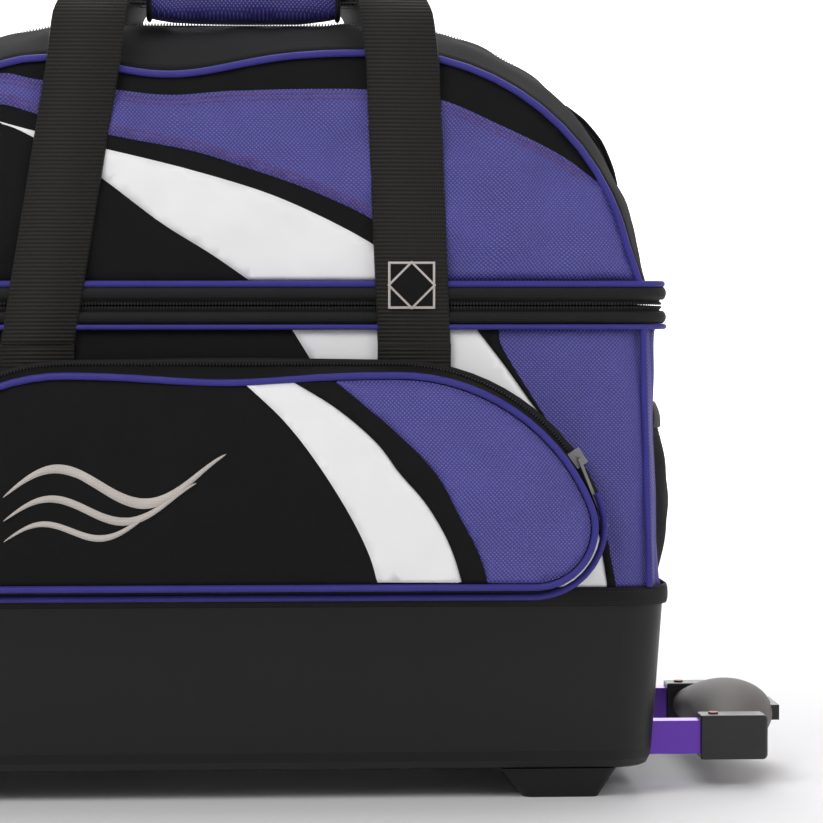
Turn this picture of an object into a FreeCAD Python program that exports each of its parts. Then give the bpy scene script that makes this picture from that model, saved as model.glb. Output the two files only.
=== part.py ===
"""Two-ball in-line roller bag, modelled in millimetres.

The bag lies level on a moulded tub.  X runs along its length, with the pull
handle at +X and the wheels at -X; Y runs across it, with the zipped pocket at
-Y; Z is up from the floor.  Everything is drawn about the tub's middle, and
the last step moves it so that the origin is on the floor under the middle of
the whole bag.
"""
import FreeCAD
import Part
import math
import os

from FreeCAD import Placement, Rotation, Vector
from Sketcher import Constraint

SIZES = {
    # moulded tub
    "tub_length": 598,
    "tub_depth": 310,
    "tub_base": 28,
    "tub_rim": 150,
    "tub_wall": 2.5,
    "end_draft": 8,
    "side_draft": 7,
    "corner_radius": 30,
    "end_round": 4,
    "side_round": 14,
    "recess_depth": 10,
    "recess_beyond_tube": 25,
    "recess_top": 74,
    "recess_wall": 5,
    "rim_binding_low": 143,
    "rim_binding_high": 156,
    "rim_binding_thickness": 3,
    # wheels and feet
    "wheel_radius": 50,
    "wheel_width": 24,
    "wheel_inset": 52,
    "wheel_from_side": 31,
    "tread_depth": 12,
    "well_clearance": 4,
    "well_headroom": 1,
    "housing_wall": 3,
    "hub_hole_radius": 6,
    "hub_hole_circle": 24.5,
    "hub_hole_count": 6,
    "bearing_radius": 11,
    "bearing_width": 7,
    "axle_radius": 3.95,
    "axle_clearance": 0.05,
    "axle_flange_radius": 6.4,
    "axle_flange_thickness": 3,
    "axle_head_length": 4,
    "axle_spacer": 2.5,
    "axle_head": 3,
    "axle_head_overhang": 0.5,
    "foot_spacing": 220,
    "foot_from_end": 71,
    "foot_top_length": 82,
    "foot_low_length": 46,
    "foot_width": 54,
    "foot_low_width": 42,
    "foot_pad_length": 26,
    "foot_pad_width": 30,
    "foot_pad_height": 3,
    # pull handle
    "tube_from_side": 65,
    "tube_height": 23.6,
    "tube_width": 15,
    "tube_wall": 1.2,
    "tube_middle": 43.4,
    "tube_inner_end": 215,
    "guide_wall": 1.2,
    "guide_clearance": 0.4,
    "guide_inner_end": 268,
    "collar_clearance": 0.3,
    "collar_slack": 0.1,
    "collar_border": 3.5,
    "collar_thickness": 3,
    "handle_out": 44,
    "socket_length": 48,
    "socket_height": 31.5,
    "socket_width": 22,
    "socket_grip": 25,
    "grip_end_width": 40,
    "grip_end_height": 29,
    "grip_middle_width": 60,
    "grip_middle_height": 43,
    "grip_rise": 7,
    "core_width": 22,
    "core_height": 18,
    "rivet_radius": 3.5,
    "rivet_height": 1.2,
    "rivet_inset": 10,
    "button_length": 46,
    "button_height": 11,
    "button_travel": 4,
    "button_seat": 7,
    "button_clearance": 0.8,
    # inside the ball compartment
    "board_thickness": 4,
    "board_clearance": 1,
    "ball_radius": 108,
    "ball_spacing": 226,
    "cradle_side": 200,
    "cradle_height": 26,
    "cradle_floor": 6,
    "cradle_clearance": 1,
    "divider_thickness": 6,
    "divider_top": 255,
    # fabric walls
    "wall_top": 336,
    "wall_lean_end": 4,
    "wall_lean_side": 3,
    "fabric": 4,
    "seam_from_end": 19,
    "piping_radius": 2.4,
    "touch_gap": 0.3,
    "mesh_width": 184,
    "mesh_low": 159,
    "mesh_high": 274,
    "mesh_thickness": 7,
    "hem_height": 17,
    "hem_thickness": 5,
    # the zip all round and the lid above it
    "band_depth": 9,
    "band_proud": 3.5,
    "band_thickness": 8,
    "coil_height": 3.7,
    "coil_gap": 0.6,
    "hinge_tape": 1,
    "lid_flat": 208,
    "lid_face_radius": 171,
    "lid_crown_radius": 185,
    "lid_face_height": 185,
    "lid_crown_height": 211,
    "lid_face_length": 560,
    "lid_crown_length": 588,
    "lid_inset": 6,
    "lid_shell": 4,
    "lid_floor_thickness": 3.5,
    "side_angle": 13,
    "top_zip_width": 10,
    "top_zip_thickness": 2,
    "top_zip_angle": 24,
    "top_slider_turn": 8,
    "top_tab_angle": 17,
    "top_tab_width": 28,
    "top_tab_thickness": 4,
    # zipped front pocket
    "pocket_flat": 220,
    "pocket_radius": 140,
    "pocket_corner": 38,
    "pocket_middle": 161,
    "pocket_end_angle": 22,
    "pocket_slider_turn": 12,
    "pocket_slope": 3,
    "pocket_flare": 7,
    "pocket_depth": 32,
    "pocket_panel": 3,
    "pocket_shell": 2.2,
    "pocket_tape": 4,
    "pocket_tape_thickness": 2,
    # sliders and their pulls
    "slider_length": 12,
    "slider_width": 9,
    "slider_height": 4.5,
    "slider_overlap": 0.7,
    "pull_length": 41,
    "pull_width": 8,
    "pull_thickness": 2,
    "pull_tip": 9,
    "pull_lean": 22,
    "short_pull": 26,
    # carrying straps
    "webbing_width": 50,
    "webbing": 2.2,
    "strap_spacing_low": 256,
    "strap_spacing_high": 216,
    "strap_lean": 8,
    "strap_shift": -4,
    "anchor_low": 313.5,
    "anchor_high": 320,
    "rear_anchor_drop": 3.5,
    "rear_anchor_gap": 1.2,
    "strap_hinge": 322,
    "strap_foot_rise": 0.5,
    "shoulder_drop": 32,
    "strap_rise": 21,
    "grip_length": 141,
    "grip_offset": 44,
    "wrap_depth": 36,
    "wrap_shorter": 4,
    "wrap_height": 38,
    "wrap_corner": 12,
    "run_width": 30,
    "run_gap": 1,
    "run_thickness": 5,
    "patch_side": 32,
    "patch_middle": 363,
    "patch_thickness": 1,
}

doc = FreeCAD.newDocument("RollerBag")
sheet = doc.addObject("Spreadsheet::Sheet", "Sizes")
for row, (alias, value) in enumerate(SIZES.items(), start=1):
    sheet.set(f"A{row}", alias)
    sheet.set(f"B{row}", str(value))
    sheet.setAlias(f"B{row}", alias)
doc.recompute()

SUB_PARTS = []

# how a sweep turns where its path has a corner
RIGHT_CORNERS = 1
ROUND_CORNERS = 2


def size(alias):
    """One number from the sheet."""
    return float(sheet.get(alias))


# ---------------------------------------------------------------- registering

def keep(obj, place=None):
    """Register a finished sub-part, at its place in the bag."""
    if place is not None:
        obj.Placement = place
    SUB_PARTS.append(obj)
    return obj


def feature(label, shape):
    """A sub-part whose shape is set directly."""
    obj = doc.addObject("Part::Feature", label)
    obj.Shape = shape
    return keep(obj)


def at(x, y, z):
    return Placement(Vector(x, y, z), Rotation())


def bind(obj, **expressions):
    """Bind properties of an object to expressions of the sheet's cells."""
    for name, text in expressions.items():
        obj.setExpression(name, text)


# ------------------------------------------------------- PartDesign helpers

def origin_plane(body, role):
    for item in body.Origin.OriginFeatures:
        if item.Role == role:
            return item
    raise ValueError(role)


def new_body(label):
    return doc.addObject("PartDesign::Body", label)


def new_sketch(body, name, role, offset="0"):
    """An empty sketch on one of the body's own planes, moved along its normal."""
    sketch = body.newObject("Sketcher::SketchObject", body.Name + name)
    sketch.AttachmentSupport = (origin_plane(body, role), [""])
    sketch.MapMode = "FlatFace"
    sketch.setExpression("AttachmentOffset.Base.z", offset)
    return sketch


def draw_rectangle(sketch, width, height):
    """A rectangle about the sketch's origin, its two sizes bound to the sheet."""
    first = sketch.GeometryCount
    corners = [(-5, -5), (5, -5), (5, 5), (-5, 5)]
    for index, start in enumerate(corners):
        end = corners[(index + 1) % 4]
        sketch.addGeometry(Part.LineSegment(Vector(*start, 0), Vector(*end, 0)), False)
    for index in range(4):
        following = first + (index + 1) % 4
        sketch.addConstraint(Constraint("Coincident", first + index, 2, following, 1))
    sketch.addConstraint(Constraint("Horizontal", first))
    sketch.addConstraint(Constraint("Horizontal", first + 2))
    sketch.addConstraint(Constraint("Vertical", first + 1))
    sketch.addConstraint(Constraint("Vertical", first + 3))
    sketch.addConstraint(Constraint("Symmetric", first, 1, first + 1, 2, -1, 1))
    across = sketch.addConstraint(Constraint("DistanceX", first, 1, first, 2, 10.0))
    upward = sketch.addConstraint(Constraint("DistanceY", first + 1, 1, first + 1, 2, 10.0))
    sketch.setExpression(f"Constraints[{across}]", width)
    sketch.setExpression(f"Constraints[{upward}]", height)


def draw_circle(sketch, radius, offset=None):
    """A circle about the sketch's origin, or moved along its first axis."""
    start = Vector(20 if offset else 0, 0, 0)
    ring = sketch.addGeometry(Part.Circle(start, Vector(0, 0, 1), 5), False)
    if offset:
        sketch.addConstraint(Constraint("PointOnObject", ring, 3, -1))
        away = sketch.addConstraint(Constraint("DistanceX", -1, 1, ring, 3, 20.0))
        sketch.setExpression(f"Constraints[{away}]", offset)
    else:
        sketch.addConstraint(Constraint("Coincident", ring, 3, -1, 1))
    given = sketch.addConstraint(Constraint("Radius", ring, 5.0))
    sketch.setExpression(f"Constraints[{given}]", radius)


def pad(body, sketch, length, both_ways=False):
    solid = body.newObject("PartDesign::Pad", body.Name + "Pad")
    solid.Profile = sketch
    solid.Midplane = both_ways
    solid.setExpression("Length", length)
    body.Tip = solid
    return solid


def pocket(body, sketch, depth, towards_normal):
    """Cut a sketch into the body, and make sure that it did cut."""
    doc.recompute()
    before = body.Shape.Volume
    cut = body.newObject("PartDesign::Pocket", body.Name + "Pocket")
    cut.Profile = sketch
    cut.Reversed = towards_normal
    cut.setExpression("Length", depth)
    body.Tip = cut
    doc.recompute()
    if body.Shape.Volume > before - 1:
        raise ValueError(body.Name + ": the pocket cuts nothing")
    return cut


def round_edges(body, radius, chosen):
    """Fillet the edges of the body whose middle point passes the test."""
    doc.recompute()
    base = body.Tip
    names = []
    for index, edge in enumerate(base.Shape.Edges, start=1):
        middle = edge.valueAt((edge.FirstParameter + edge.LastParameter) / 2)
        if chosen(middle):
            names.append(f"Edge{index}")
    fillet = body.newObject("PartDesign::Fillet", body.Name + "Fillet")
    fillet.Base = (base, names)
    fillet.setExpression("Radius", radius)
    body.Tip = fillet
    return fillet


def padded_rectangle(label, role, width, height, length, both_ways=False):
    """A body that is one padded rectangle."""
    body = new_body(label)
    sketch = new_sketch(body, "Sketch", role)
    draw_rectangle(sketch, width, height)
    pad(body, sketch, length, both_ways)
    return body


# ------------------------------------------------------- primitive helpers

def box(name, length, width, height, x, y, z):
    """A box with bound sizes; x, y and z are its low corner."""
    obj = doc.addObject("Part::Box", name)
    bind(obj, Length=length, Width=width, Height=height)
    obj.Placement = at(x, y, z)
    return obj


def cylinder_along_y(name, radius, height, x, y, z):
    obj = doc.addObject("Part::Cylinder", name)
    bind(obj, Radius=radius, Height=height)
    obj.Placement = Placement(Vector(x, y, z), Rotation(Vector(1, 0, 0), -90))
    return obj


def cylinder_along_z(name, radius, height, x, y, z):
    obj = doc.addObject("Part::Cylinder", name)
    bind(obj, Radius=radius, Height=height)
    obj.Placement = at(x, y, z)
    return obj


def joined(label, shapes, place=None):
    """Several objects fused, or kept side by side, as one sub-part."""
    obj = doc.addObject("Part::MultiFuse", label)
    obj.Shapes = shapes
    return keep(obj, place)


def plain_box(low, high):
    """A box between two corners, for cutting and trimming."""
    return Part.makeBox(high[0] - low[0], high[1] - low[1], high[2] - low[2], Vector(*low))


# ------------------------------------------------------- outlines of the bag

def rounded_rectangle(half_x, half_y, z, radius):
    """A level rectangle with round corners, as one wire."""
    arcs = []
    for turn, (sx, sy) in enumerate([(1, 1), (-1, 1), (-1, -1), (1, -1)]):
        centre = Vector(sx * (half_x - radius), sy * (half_y - radius), z)
        start = math.radians(90 * turn)
        points = []
        for step in range(3):
            angle = start + math.radians(45 * step)
            points.append(centre + Vector(radius * math.cos(angle), radius * math.sin(angle), 0))
        arcs.append(Part.Arc(*points).toShape())
    edges = []
    for index, arc in enumerate(arcs):
        following = arcs[(index + 1) % 4]
        edges.append(arc)
        edges.append(Part.makeLine(arc.lastVertex(True).Point, following.firstVertex(True).Point))
    return Part.Wire(edges)


def tub_half(z):
    """Half the tub's length and depth at a height."""
    drop = (size("tub_rim") - z) / (size("tub_rim") - size("tub_base"))
    half_x = size("tub_length") / 2 - size("end_draft") * drop
    half_y = size("tub_depth") / 2 - size("side_draft") * drop
    return half_x, half_y


def wall_half(z):
    """Half the fabric body's length and depth at a height."""
    rise = (z - size("tub_rim")) / (size("wall_top") - size("tub_rim"))
    half_x = size("tub_length") / 2 - size("wall_lean_end") * rise
    half_y = size("tub_depth") / 2 - size("wall_lean_side") * rise
    return half_x, half_y


def tub_solid(inset, base):
    """The tub's outer form, or its hollow when it is inset by the wall."""
    sections = []
    for angle in (0, 30, 60, 90):
        rise = 1 - math.cos(math.radians(angle))
        back = 1 - math.sin(math.radians(angle))
        z = base + (size("side_round") - inset) * rise
        half_x, half_y = tub_half(z)
        half_x -= inset + size("end_round") * back
        half_y -= inset + size("side_round") * back
        radius = size("corner_radius") - inset - size("end_round") * back
        sections.append(rounded_rectangle(half_x, half_y, z, radius))
    top = size("tub_rim") + (1 if inset else 0)
    half_x, half_y = tub_half(top)
    radius = size("corner_radius") - inset
    sections.append(rounded_rectangle(half_x - inset, half_y - inset, top, radius))
    return Part.makeLoft(sections, True, True)


def ring(low, high, outer, inner, radius):
    """A level ring; outer and inner are (half length, half depth)."""
    tall = Vector(0, 0, high - low)
    outside = Part.Face(rounded_rectangle(*outer, low, radius)).extrude(tall)
    inner_radius = max(radius - (outer[0] - inner[0]), 2)
    inside = Part.Face(rounded_rectangle(*inner, low, inner_radius)).extrude(tall)
    return outside.cut(inside)


def thin_ring(low, high, half):
    """A ring of piping around a level outline."""
    thick = size("piping_radius")
    outer = (half[0] + thick, half[1] + thick)
    return ring(low, high, outer, half, size("corner_radius") + thick)


# ---------------------------------------------------------------- base: tub

TUB_END = size("tub_length") / 2
RECESS_FACE = tub_half(size("tub_base"))[0] - size("recess_depth") / 2
BOSS_FACE = RECESS_FACE - size("recess_wall")
WHEEL_X = -(TUB_END - size("wheel_inset"))
WHEEL_Z = size("wheel_radius")
WHEEL_Y = size("tub_depth") / 2 - size("wheel_from_side")
WELL_X = WHEEL_X + size("wheel_radius") + size("well_clearance")
WELL_Y = WHEEL_Y - size("wheel_width") / 2 - size("well_clearance")
WELL_Z = WHEEL_Z + size("wheel_radius") + size("well_clearance") + size("well_headroom")
TUBE_Y = size("tub_depth") / 2 - size("tube_from_side")
TUBE_Z = size("tube_middle")
GUIDE_HALF_Z = size("tube_height") / 2 + size("guide_clearance") + size("guide_wall")
BOARD_Z = max(TUBE_Z + GUIDE_HALF_Z, WHEEL_Z + size("axle_flange_radius") + size("touch_gap"))
SIDES = {"front": -1, "rear": 1}


def well_box(side, grow):
    """The space of one wheel well, or its housing when grown by the wall."""
    near = WELL_Y - grow
    far = size("tub_depth")
    low_y, high_y = (near, far) if side > 0 else (-far, -near)
    low = (-size("tub_length"), low_y, 0)
    return plain_box(low, (WELL_X + grow, high_y, WELL_Z + grow))


def make_tub():
    """The moulded tub: a tapered shell with wheel wells and a handle recess."""
    outside = tub_solid(0, size("tub_base"))
    shell = outside.cut(tub_solid(size("tub_wall"), TUBE_Z - GUIDE_HALF_Z))
    half = TUBE_Y + size("recess_beyond_tube")
    border = size("recess_wall")
    boss = plain_box((BOSS_FACE, -half - border, 0),
                     (TUB_END, half + border, size("recess_top") + border))
    shell = shell.fuse(outside.common(boss))
    lip = TUBE_Z - GUIDE_HALF_Z
    shell = shell.cut(plain_box((RECESS_FACE, -half, lip), (2 * TUB_END, half, size("recess_top"))))
    slack = size("collar_clearance") + size("collar_slack")
    for side in SIDES.values():
        low_y = side * TUBE_Y - size("tube_width") / 2 - slack
        low_z = TUBE_Z - size("tube_height") / 2 - slack
        slot = Part.makeBox(40, size("tube_width") + 2 * slack, size("tube_height") + 2 * slack,
                            Vector(BOSS_FACE - 20, low_y, low_z))
        shell = shell.cut(slot)
        shell = shell.cut(well_box(side, size("housing_wall")))
    feature("tub", shell.removeSplitter())


def make_wheel_housings():
    """Two open-sided cups that close the tub's corners around the wheels."""
    outside = tub_solid(0, size("tub_base"))
    cups = []
    bore = size("axle_radius") + size("axle_clearance")
    for side in SIDES.values():
        cup = outside.common(well_box(side, size("housing_wall"))).cut(well_box(side, 0))
        hole = Part.makeCylinder(bore, size("tub_depth"), Vector(WHEEL_X, 0, WHEEL_Z),
                                 Vector(0, side, 0))
        cups.append(cup.cut(hole))
    feature("wheel_housings", Part.makeCompound(cups))


def make_rim_binding():
    low = size("rim_binding_low")
    high = size("rim_binding_high")
    inner = (TUB_END, size("tub_depth") / 2)
    grow = size("rim_binding_thickness")
    outer = (inner[0] + grow, inner[1] + grow)
    feature("rim_binding", ring(low, high, outer, inner, size("corner_radius") + grow))


def make_feet():
    """Two flared feet under the handle end, with rubber pads."""
    feet = []
    pads = []
    middle = TUB_END - size("foot_from_end")
    low_z = size("foot_pad_height")
    for name, side in SIDES.items():
        y = side * size("foot_spacing") / 2
        top = rounded_rectangle(size("foot_top_length") / 2, size("foot_width") / 2,
                                size("tub_base"), 6)
        low = rounded_rectangle(size("foot_low_length") / 2, size("foot_low_width") / 2, low_z, 6)
        top.translate(Vector(middle - 3, y, 0))
        low.translate(Vector(middle, y, 0))
        feet.append(Part.makeLoft([low, top], True, True))
        pads.append(box("Pad" + name, "Sizes.foot_pad_length", "Sizes.foot_pad_width",
                        "Sizes.foot_pad_height", middle + 4 - size("foot_pad_length") / 2,
                        y - size("foot_pad_width") / 2, 0))
    feature("feet", Part.makeCompound(feet))
    joined("foot_pads", pads)


# ---------------------------------------------------------------- wheels

def make_wheel(name, side):
    """One wheel: tread, hub with round lightening holes, and two ball bearings."""
    place = at(WHEEL_X, side * WHEEL_Y, WHEEL_Z)
    tread = new_body("wheel_tread_" + name)
    sketch = new_sketch(tread, "Sketch", "XZ_Plane")
    draw_circle(sketch, "Sizes.wheel_radius")
    draw_circle(sketch, "Sizes.wheel_radius - Sizes.tread_depth")
    pad(tread, sketch, "Sizes.wheel_width", True)
    outer = size("wheel_radius")
    round_edges(tread, "Sizes.tread_depth / 3", lambda p: math.hypot(p.x, p.z) > outer - 1)
    keep(tread, place)

    hub = new_body("wheel_hub_" + name)
    sketch = new_sketch(hub, "Sketch", "XZ_Plane")
    draw_circle(sketch, "Sizes.wheel_radius - Sizes.tread_depth")
    draw_circle(sketch, "Sizes.bearing_radius")
    pad(hub, sketch, "Sizes.wheel_width", True)
    hole = new_sketch(hub, "Hole", "XZ_Plane", "-Sizes.wheel_width / 2")
    draw_circle(hole, "Sizes.hub_hole_radius", "Sizes.hub_hole_circle")
    cut = pocket(hub, hole, "Sizes.wheel_width", True)
    around = hub.newObject("PartDesign::PolarPattern", hub.Name + "Pattern")
    around.Originals = [cut]
    around.Axis = (hole, ["N_Axis"])
    around.Angle = 360
    around.Occurrences = int(size("hub_hole_count"))
    hub.Tip = around
    keep(hub, place)

    rings = []
    bore = "Sizes.axle_radius + Sizes.axle_clearance"
    for index, inward in enumerate((-1, 1)):
        inner_y = inward * (size("wheel_width") - size("bearing_width")) / 2
        low_y = inner_y - size("bearing_width") / 2
        race = cylinder_along_y(f"Race{name}{index}", "Sizes.bearing_radius",
                                "Sizes.bearing_width", 0, low_y, 0)
        hole = cylinder_along_y(f"Bore{name}{index}", bore, "Sizes.bearing_width", 0, low_y, 0)
        cut = doc.addObject("Part::Cut", f"Bearing{name}{index}")
        cut.Base = race
        cut.Tool = hole
        rings.append(cut)
    joined("wheel_bearings_" + name, rings, place)


def make_axles():
    """Stub axles: a flange inside the housing, a shaft, a shoulder and a nut."""
    pieces = []
    wall_in = WELL_Y - size("housing_wall")
    hub_in = WHEEL_Y - size("wheel_width") / 2
    hub_out = WHEEL_Y + size("wheel_width") / 2
    running = 0.4
    spans = [
        (size("axle_flange_radius"), wall_in - size("axle_flange_thickness"), wall_in),
        (size("axle_radius"), wall_in, hub_out + size("axle_head_length")),
        (size("axle_radius") + size("axle_spacer"), WELL_Y, hub_in - running),
        (size("axle_radius") + size("axle_head"), hub_out + running,
         hub_out + size("axle_head_length") + size("axle_head_overhang")),
    ]
    for side in SIDES.values():
        axle = None
        for radius, near, far in spans:
            rod = Part.makeCylinder(radius, far - near, Vector(WHEEL_X, side * near, WHEEL_Z),
                                    Vector(0, side, 0))
            axle = rod if axle is None else axle.fuse(rod)
        pieces.append(axle.removeSplitter())
    feature("wheel_axles", Part.makeCompound(pieces))


# ---------------------------------------------------------------- pull handle

SOCKET_X = RECESS_FACE + size("handle_out")


def hollow_bar(label, width, height, wall, length, place):
    """A rectangular tube along X, not yet registered."""
    body = new_body(label)
    sketch = new_sketch(body, "Sketch", "YZ_Plane")
    draw_rectangle(sketch, width, height)
    draw_rectangle(sketch, f"{width} - 2 * {wall}", f"{height} - 2 * {wall}")
    pad(body, sketch, length)
    body.Placement = place
    return body


def make_guides():
    """Fixed guide tubes on the tub's floor, with collars where the tubes come out."""
    slack = "2 * (Sizes.guide_clearance + Sizes.guide_wall)"
    length = BOSS_FACE + size("guide_inner_end")
    tubes = []
    collars = []
    for name, side in SIDES.items():
        tubes.append(hollow_bar("Guide" + name, f"(Sizes.tube_width + {slack})",
                                f"(Sizes.tube_height + {slack})", "Sizes.guide_wall",
                                str(length), at(-size("guide_inner_end"), side * TUBE_Y, TUBE_Z)))
        gap = size("collar_clearance")
        half_y = size("tube_width") / 2 + gap
        half_z = size("tube_height") / 2 + gap
        border = size("collar_border")
        middle = Vector(RECESS_FACE, side * TUBE_Y, TUBE_Z)
        thick = size("collar_thickness")
        plate = Part.makeBox(thick, 2 * (half_y + border), 2 * half_z + border,
                             middle - Vector(0, half_y + border, half_z))
        hole = Part.makeBox(thick, 2 * half_y, 2 * half_z, middle - Vector(0, half_y, half_z))
        collars.append(plate.cut(hole))
    joined("guide_tubes", tubes)
    feature("guide_collars", Part.makeCompound(collars))


def make_handle():
    """The sliding handle: two tubes, two sockets, a core and a soft arched grip."""
    rivets = []
    tube_length = size("tube_inner_end") + SOCKET_X + size("socket_grip")
    for name, side in SIDES.items():
        keep(hollow_bar("pull_tube_" + name, "Sizes.tube_width", "Sizes.tube_height",
                        "Sizes.tube_wall", str(tube_length),
                        at(-size("tube_inner_end"), side * TUBE_Y, TUBE_Z)))
        socket = new_body("grip_socket_" + name)
        sketch = new_sketch(socket, "Sketch", "YZ_Plane")
        draw_rectangle(sketch, "Sizes.socket_width", "Sizes.socket_height")
        pad(socket, sketch, "Sizes.socket_length")
        end = size("socket_length")
        round_edges(socket, "Sizes.socket_width / 6", lambda p: p.x > end - 1)
        mouth = new_sketch(socket, "Mouth", "YZ_Plane")
        draw_rectangle(mouth, "Sizes.tube_width", "Sizes.tube_height")
        pocket(socket, mouth, "Sizes.socket_grip", True)
        keep(socket, at(SOCKET_X, side * TUBE_Y, TUBE_Z))
        rivets.append(cylinder_along_z("Rivet" + name, "Sizes.rivet_radius",
                                       "Sizes.rivet_height", SOCKET_X + size("rivet_inset"), side * TUBE_Y,
                                       TUBE_Z + size("socket_height") / 2))
    joined("socket_rivets", rivets)

    reach = TUBE_Y - size("socket_width") / 2
    core_x = SOCKET_X + size("socket_length") / 2
    core_low = Vector(core_x - size("core_width") / 2, -reach, TUBE_Z - size("core_height") / 2 - 1)
    core = Part.makeBox(size("core_width"), 2 * reach, size("core_height"), core_low)
    feature("grip_core", core)
    sections = []
    for share in (-1, -0.5, 0, 0.5, 1):
        arch = math.cos(share * math.pi / 2)
        wide = size("grip_end_width") + (size("grip_middle_width") - size("grip_end_width")) * arch
        tall = size("grip_end_height")
        tall += (size("grip_middle_height") - size("grip_end_height")) * arch
        centre = Vector(core_x + size("grip_middle_width") / 5 * arch, share * reach,
                        TUBE_Z + size("grip_rise") * arch)
        oval = Part.Ellipse(Vector(), wide / 2, tall / 2).toShape()
        oval.rotate(Vector(), Vector(1, 0, 0), 90)
        oval.translate(centre)
        sections.append(Part.Wire([oval]))
    cover = Part.makeLoft(sections, True, False).cut(core)
    outer_x = core_x + size("grip_middle_width") * 0.7
    middle_z = TUBE_Z + size("grip_rise")
    seat = size("button_travel") + size("button_seat")
    slack = size("button_clearance")
    length = size("button_length")
    height = size("button_height")
    well = Part.makeBox(40, length + 2 * slack, height + 2 * slack,
                        Vector(outer_x - seat, -length / 2 - slack, middle_z - height / 2 - slack))
    feature("grip_cover", cover.cut(well))
    button_x = outer_x - seat + size("button_travel") + slack
    button = box("release_button", "Sizes.button_travel + 5", "Sizes.button_length",
                 "Sizes.button_height", button_x, -length / 2, middle_z - height / 2)
    keep(button)


# ---------------------------------------------------------------- inside the tub

def make_interior():
    """A board over the guide tubes, a dished foam cradle per ball and a divider."""
    well_x = WELL_X + size("housing_wall") + size("board_clearance")
    well_y = WELL_Y - size("housing_wall") - size("board_clearance")
    half_x, half_y = tub_half(BOARD_Z)
    left = -(half_x - size("tub_wall") - size("board_clearance"))
    right = BOSS_FACE - size("board_clearance")
    depth = half_y - size("tub_wall") - size("corner_radius") / 4
    wide = plain_box((well_x, -depth, BOARD_Z), (right, depth, BOARD_Z + size("board_thickness")))
    narrow = plain_box((left, -well_y, BOARD_Z), (well_x, well_y, BOARD_Z + size("board_thickness")))
    feature("base_board", wide.fuse(narrow).removeSplitter())

    floor = BOARD_Z + size("board_thickness")
    side = size("cradle_side")
    across = min(side, 2 * well_y)
    cradles = []
    for name, sign in (("left", -1), ("right", 1)):
        x = sign * size("ball_spacing") / 2
        block = doc.addObject("Part::Feature", "Block" + name)
        block.Shape = Part.makeBox(side, across, size("cradle_height"),
                                   Vector(x - side / 2, -across / 2, floor))
        ball = doc.addObject("Part::Sphere", "Dish" + name)
        bind(ball, Radius="Sizes.ball_radius + Sizes.cradle_clearance")
        lift = size("cradle_floor") + size("ball_radius") + size("cradle_clearance")
        ball.Placement = at(x, 0, floor + lift)
        cradle = doc.addObject("Part::Cut", "Cradle" + name)
        cradle.Base = block
        cradle.Tool = ball
        cradles.append(cradle)
    joined("foam_cradles", cradles)
    depth = wall_half(size("divider_top"))[1] - size("fabric") - size("corner_radius") / 4
    thick = size("divider_thickness")
    feature("ball_divider", plain_box((-thick / 2, -depth, floor),
                                      (thick / 2, depth, size("divider_top"))))


# ---------------------------------------------------------------- fabric body

SEAM_X = TUB_END - size("seam_from_end")


def make_walls():
    """Padded fabric walls on the tub's rim, cut at four upright seams."""
    low = size("tub_rim")
    high = size("wall_top")
    radius = size("corner_radius")
    thick = size("fabric")
    outside = Part.makeLoft([rounded_rectangle(*wall_half(z), z, radius) for z in (low, high)],
                            True, True)
    hollow = []
    for z in (low, high):
        half_x, half_y = wall_half(z)
        hollow.append(rounded_rectangle(half_x - thick, half_y - thick, z, radius - thick))
    wall = outside.cut(Part.makeLoft(hollow, True, True))
    far = 2 * TUB_END
    feature("front_wall", wall.common(plain_box((-SEAM_X, -far, 0), (SEAM_X, 0, far))))
    feature("back_wall", wall.common(plain_box((-SEAM_X, 0, 0), (SEAM_X, far, far))))
    wheel_end = wall.common(plain_box((-far, -far, 0), (-SEAM_X, far, far)))
    handle_end = wall.common(plain_box((SEAM_X, -far, 0), (far, far, far)))
    feature("end_walls", Part.makeCompound([wheel_end, handle_end]))


def make_body_piping():
    """Covered cord beside each upright seam, and a ring of it under the zip."""
    cords = []
    radius = size("piping_radius")
    gap = size("touch_gap")
    low = size("rim_binding_high") + gap
    high = size("wall_top") - radius * 2
    proud = size("corner_radius") * 0.06
    for sx in (-1, 1):
        for sy in (-1, 1):
            start = Vector(sx * SEAM_X, sy * (wall_half(low)[1] + radius - proud + gap), low)
            end = Vector(sx * SEAM_X, sy * (wall_half(high)[1] + radius - proud + gap), high)
            cords.append(Part.makeCylinder(radius, (end - start).Length, start, end - start))
    top = size("wall_top")
    low = top - radius * 1.4
    half = wall_half(low)
    cords.append(thin_ring(low, top, (half[0] + gap, half[1] + gap)))
    feature("body_piping", Part.makeCompound(cords))


def make_mesh_pocket():
    """A flat mesh pocket with a hem on the handle end."""
    face = TUB_END + size("touch_gap")
    mesh = padded_rectangle("mesh_pocket", "YZ_Plane", "Sizes.mesh_width",
                            "Sizes.mesh_high - Sizes.mesh_low", "Sizes.mesh_thickness")
    thick = size("mesh_thickness")
    round_edges(mesh, "Sizes.mesh_thickness / 2", lambda p: p.x > thick - 0.5)
    keep(mesh, at(face, 0, (size("mesh_high") + size("mesh_low")) / 2))
    hem = padded_rectangle("mesh_pocket_hem", "YZ_Plane", "Sizes.mesh_width",
                           "Sizes.hem_height", "Sizes.hem_thickness")
    thick_hem = size("hem_thickness")
    round_edges(hem, "Sizes.hem_thickness / 4", lambda p: p.x > thick_hem - 0.5)
    keep(hem, at(face - 1, 0, size("mesh_high") + size("hem_height") / 2))


# ---------------------------------------------------------------- zip all round

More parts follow.
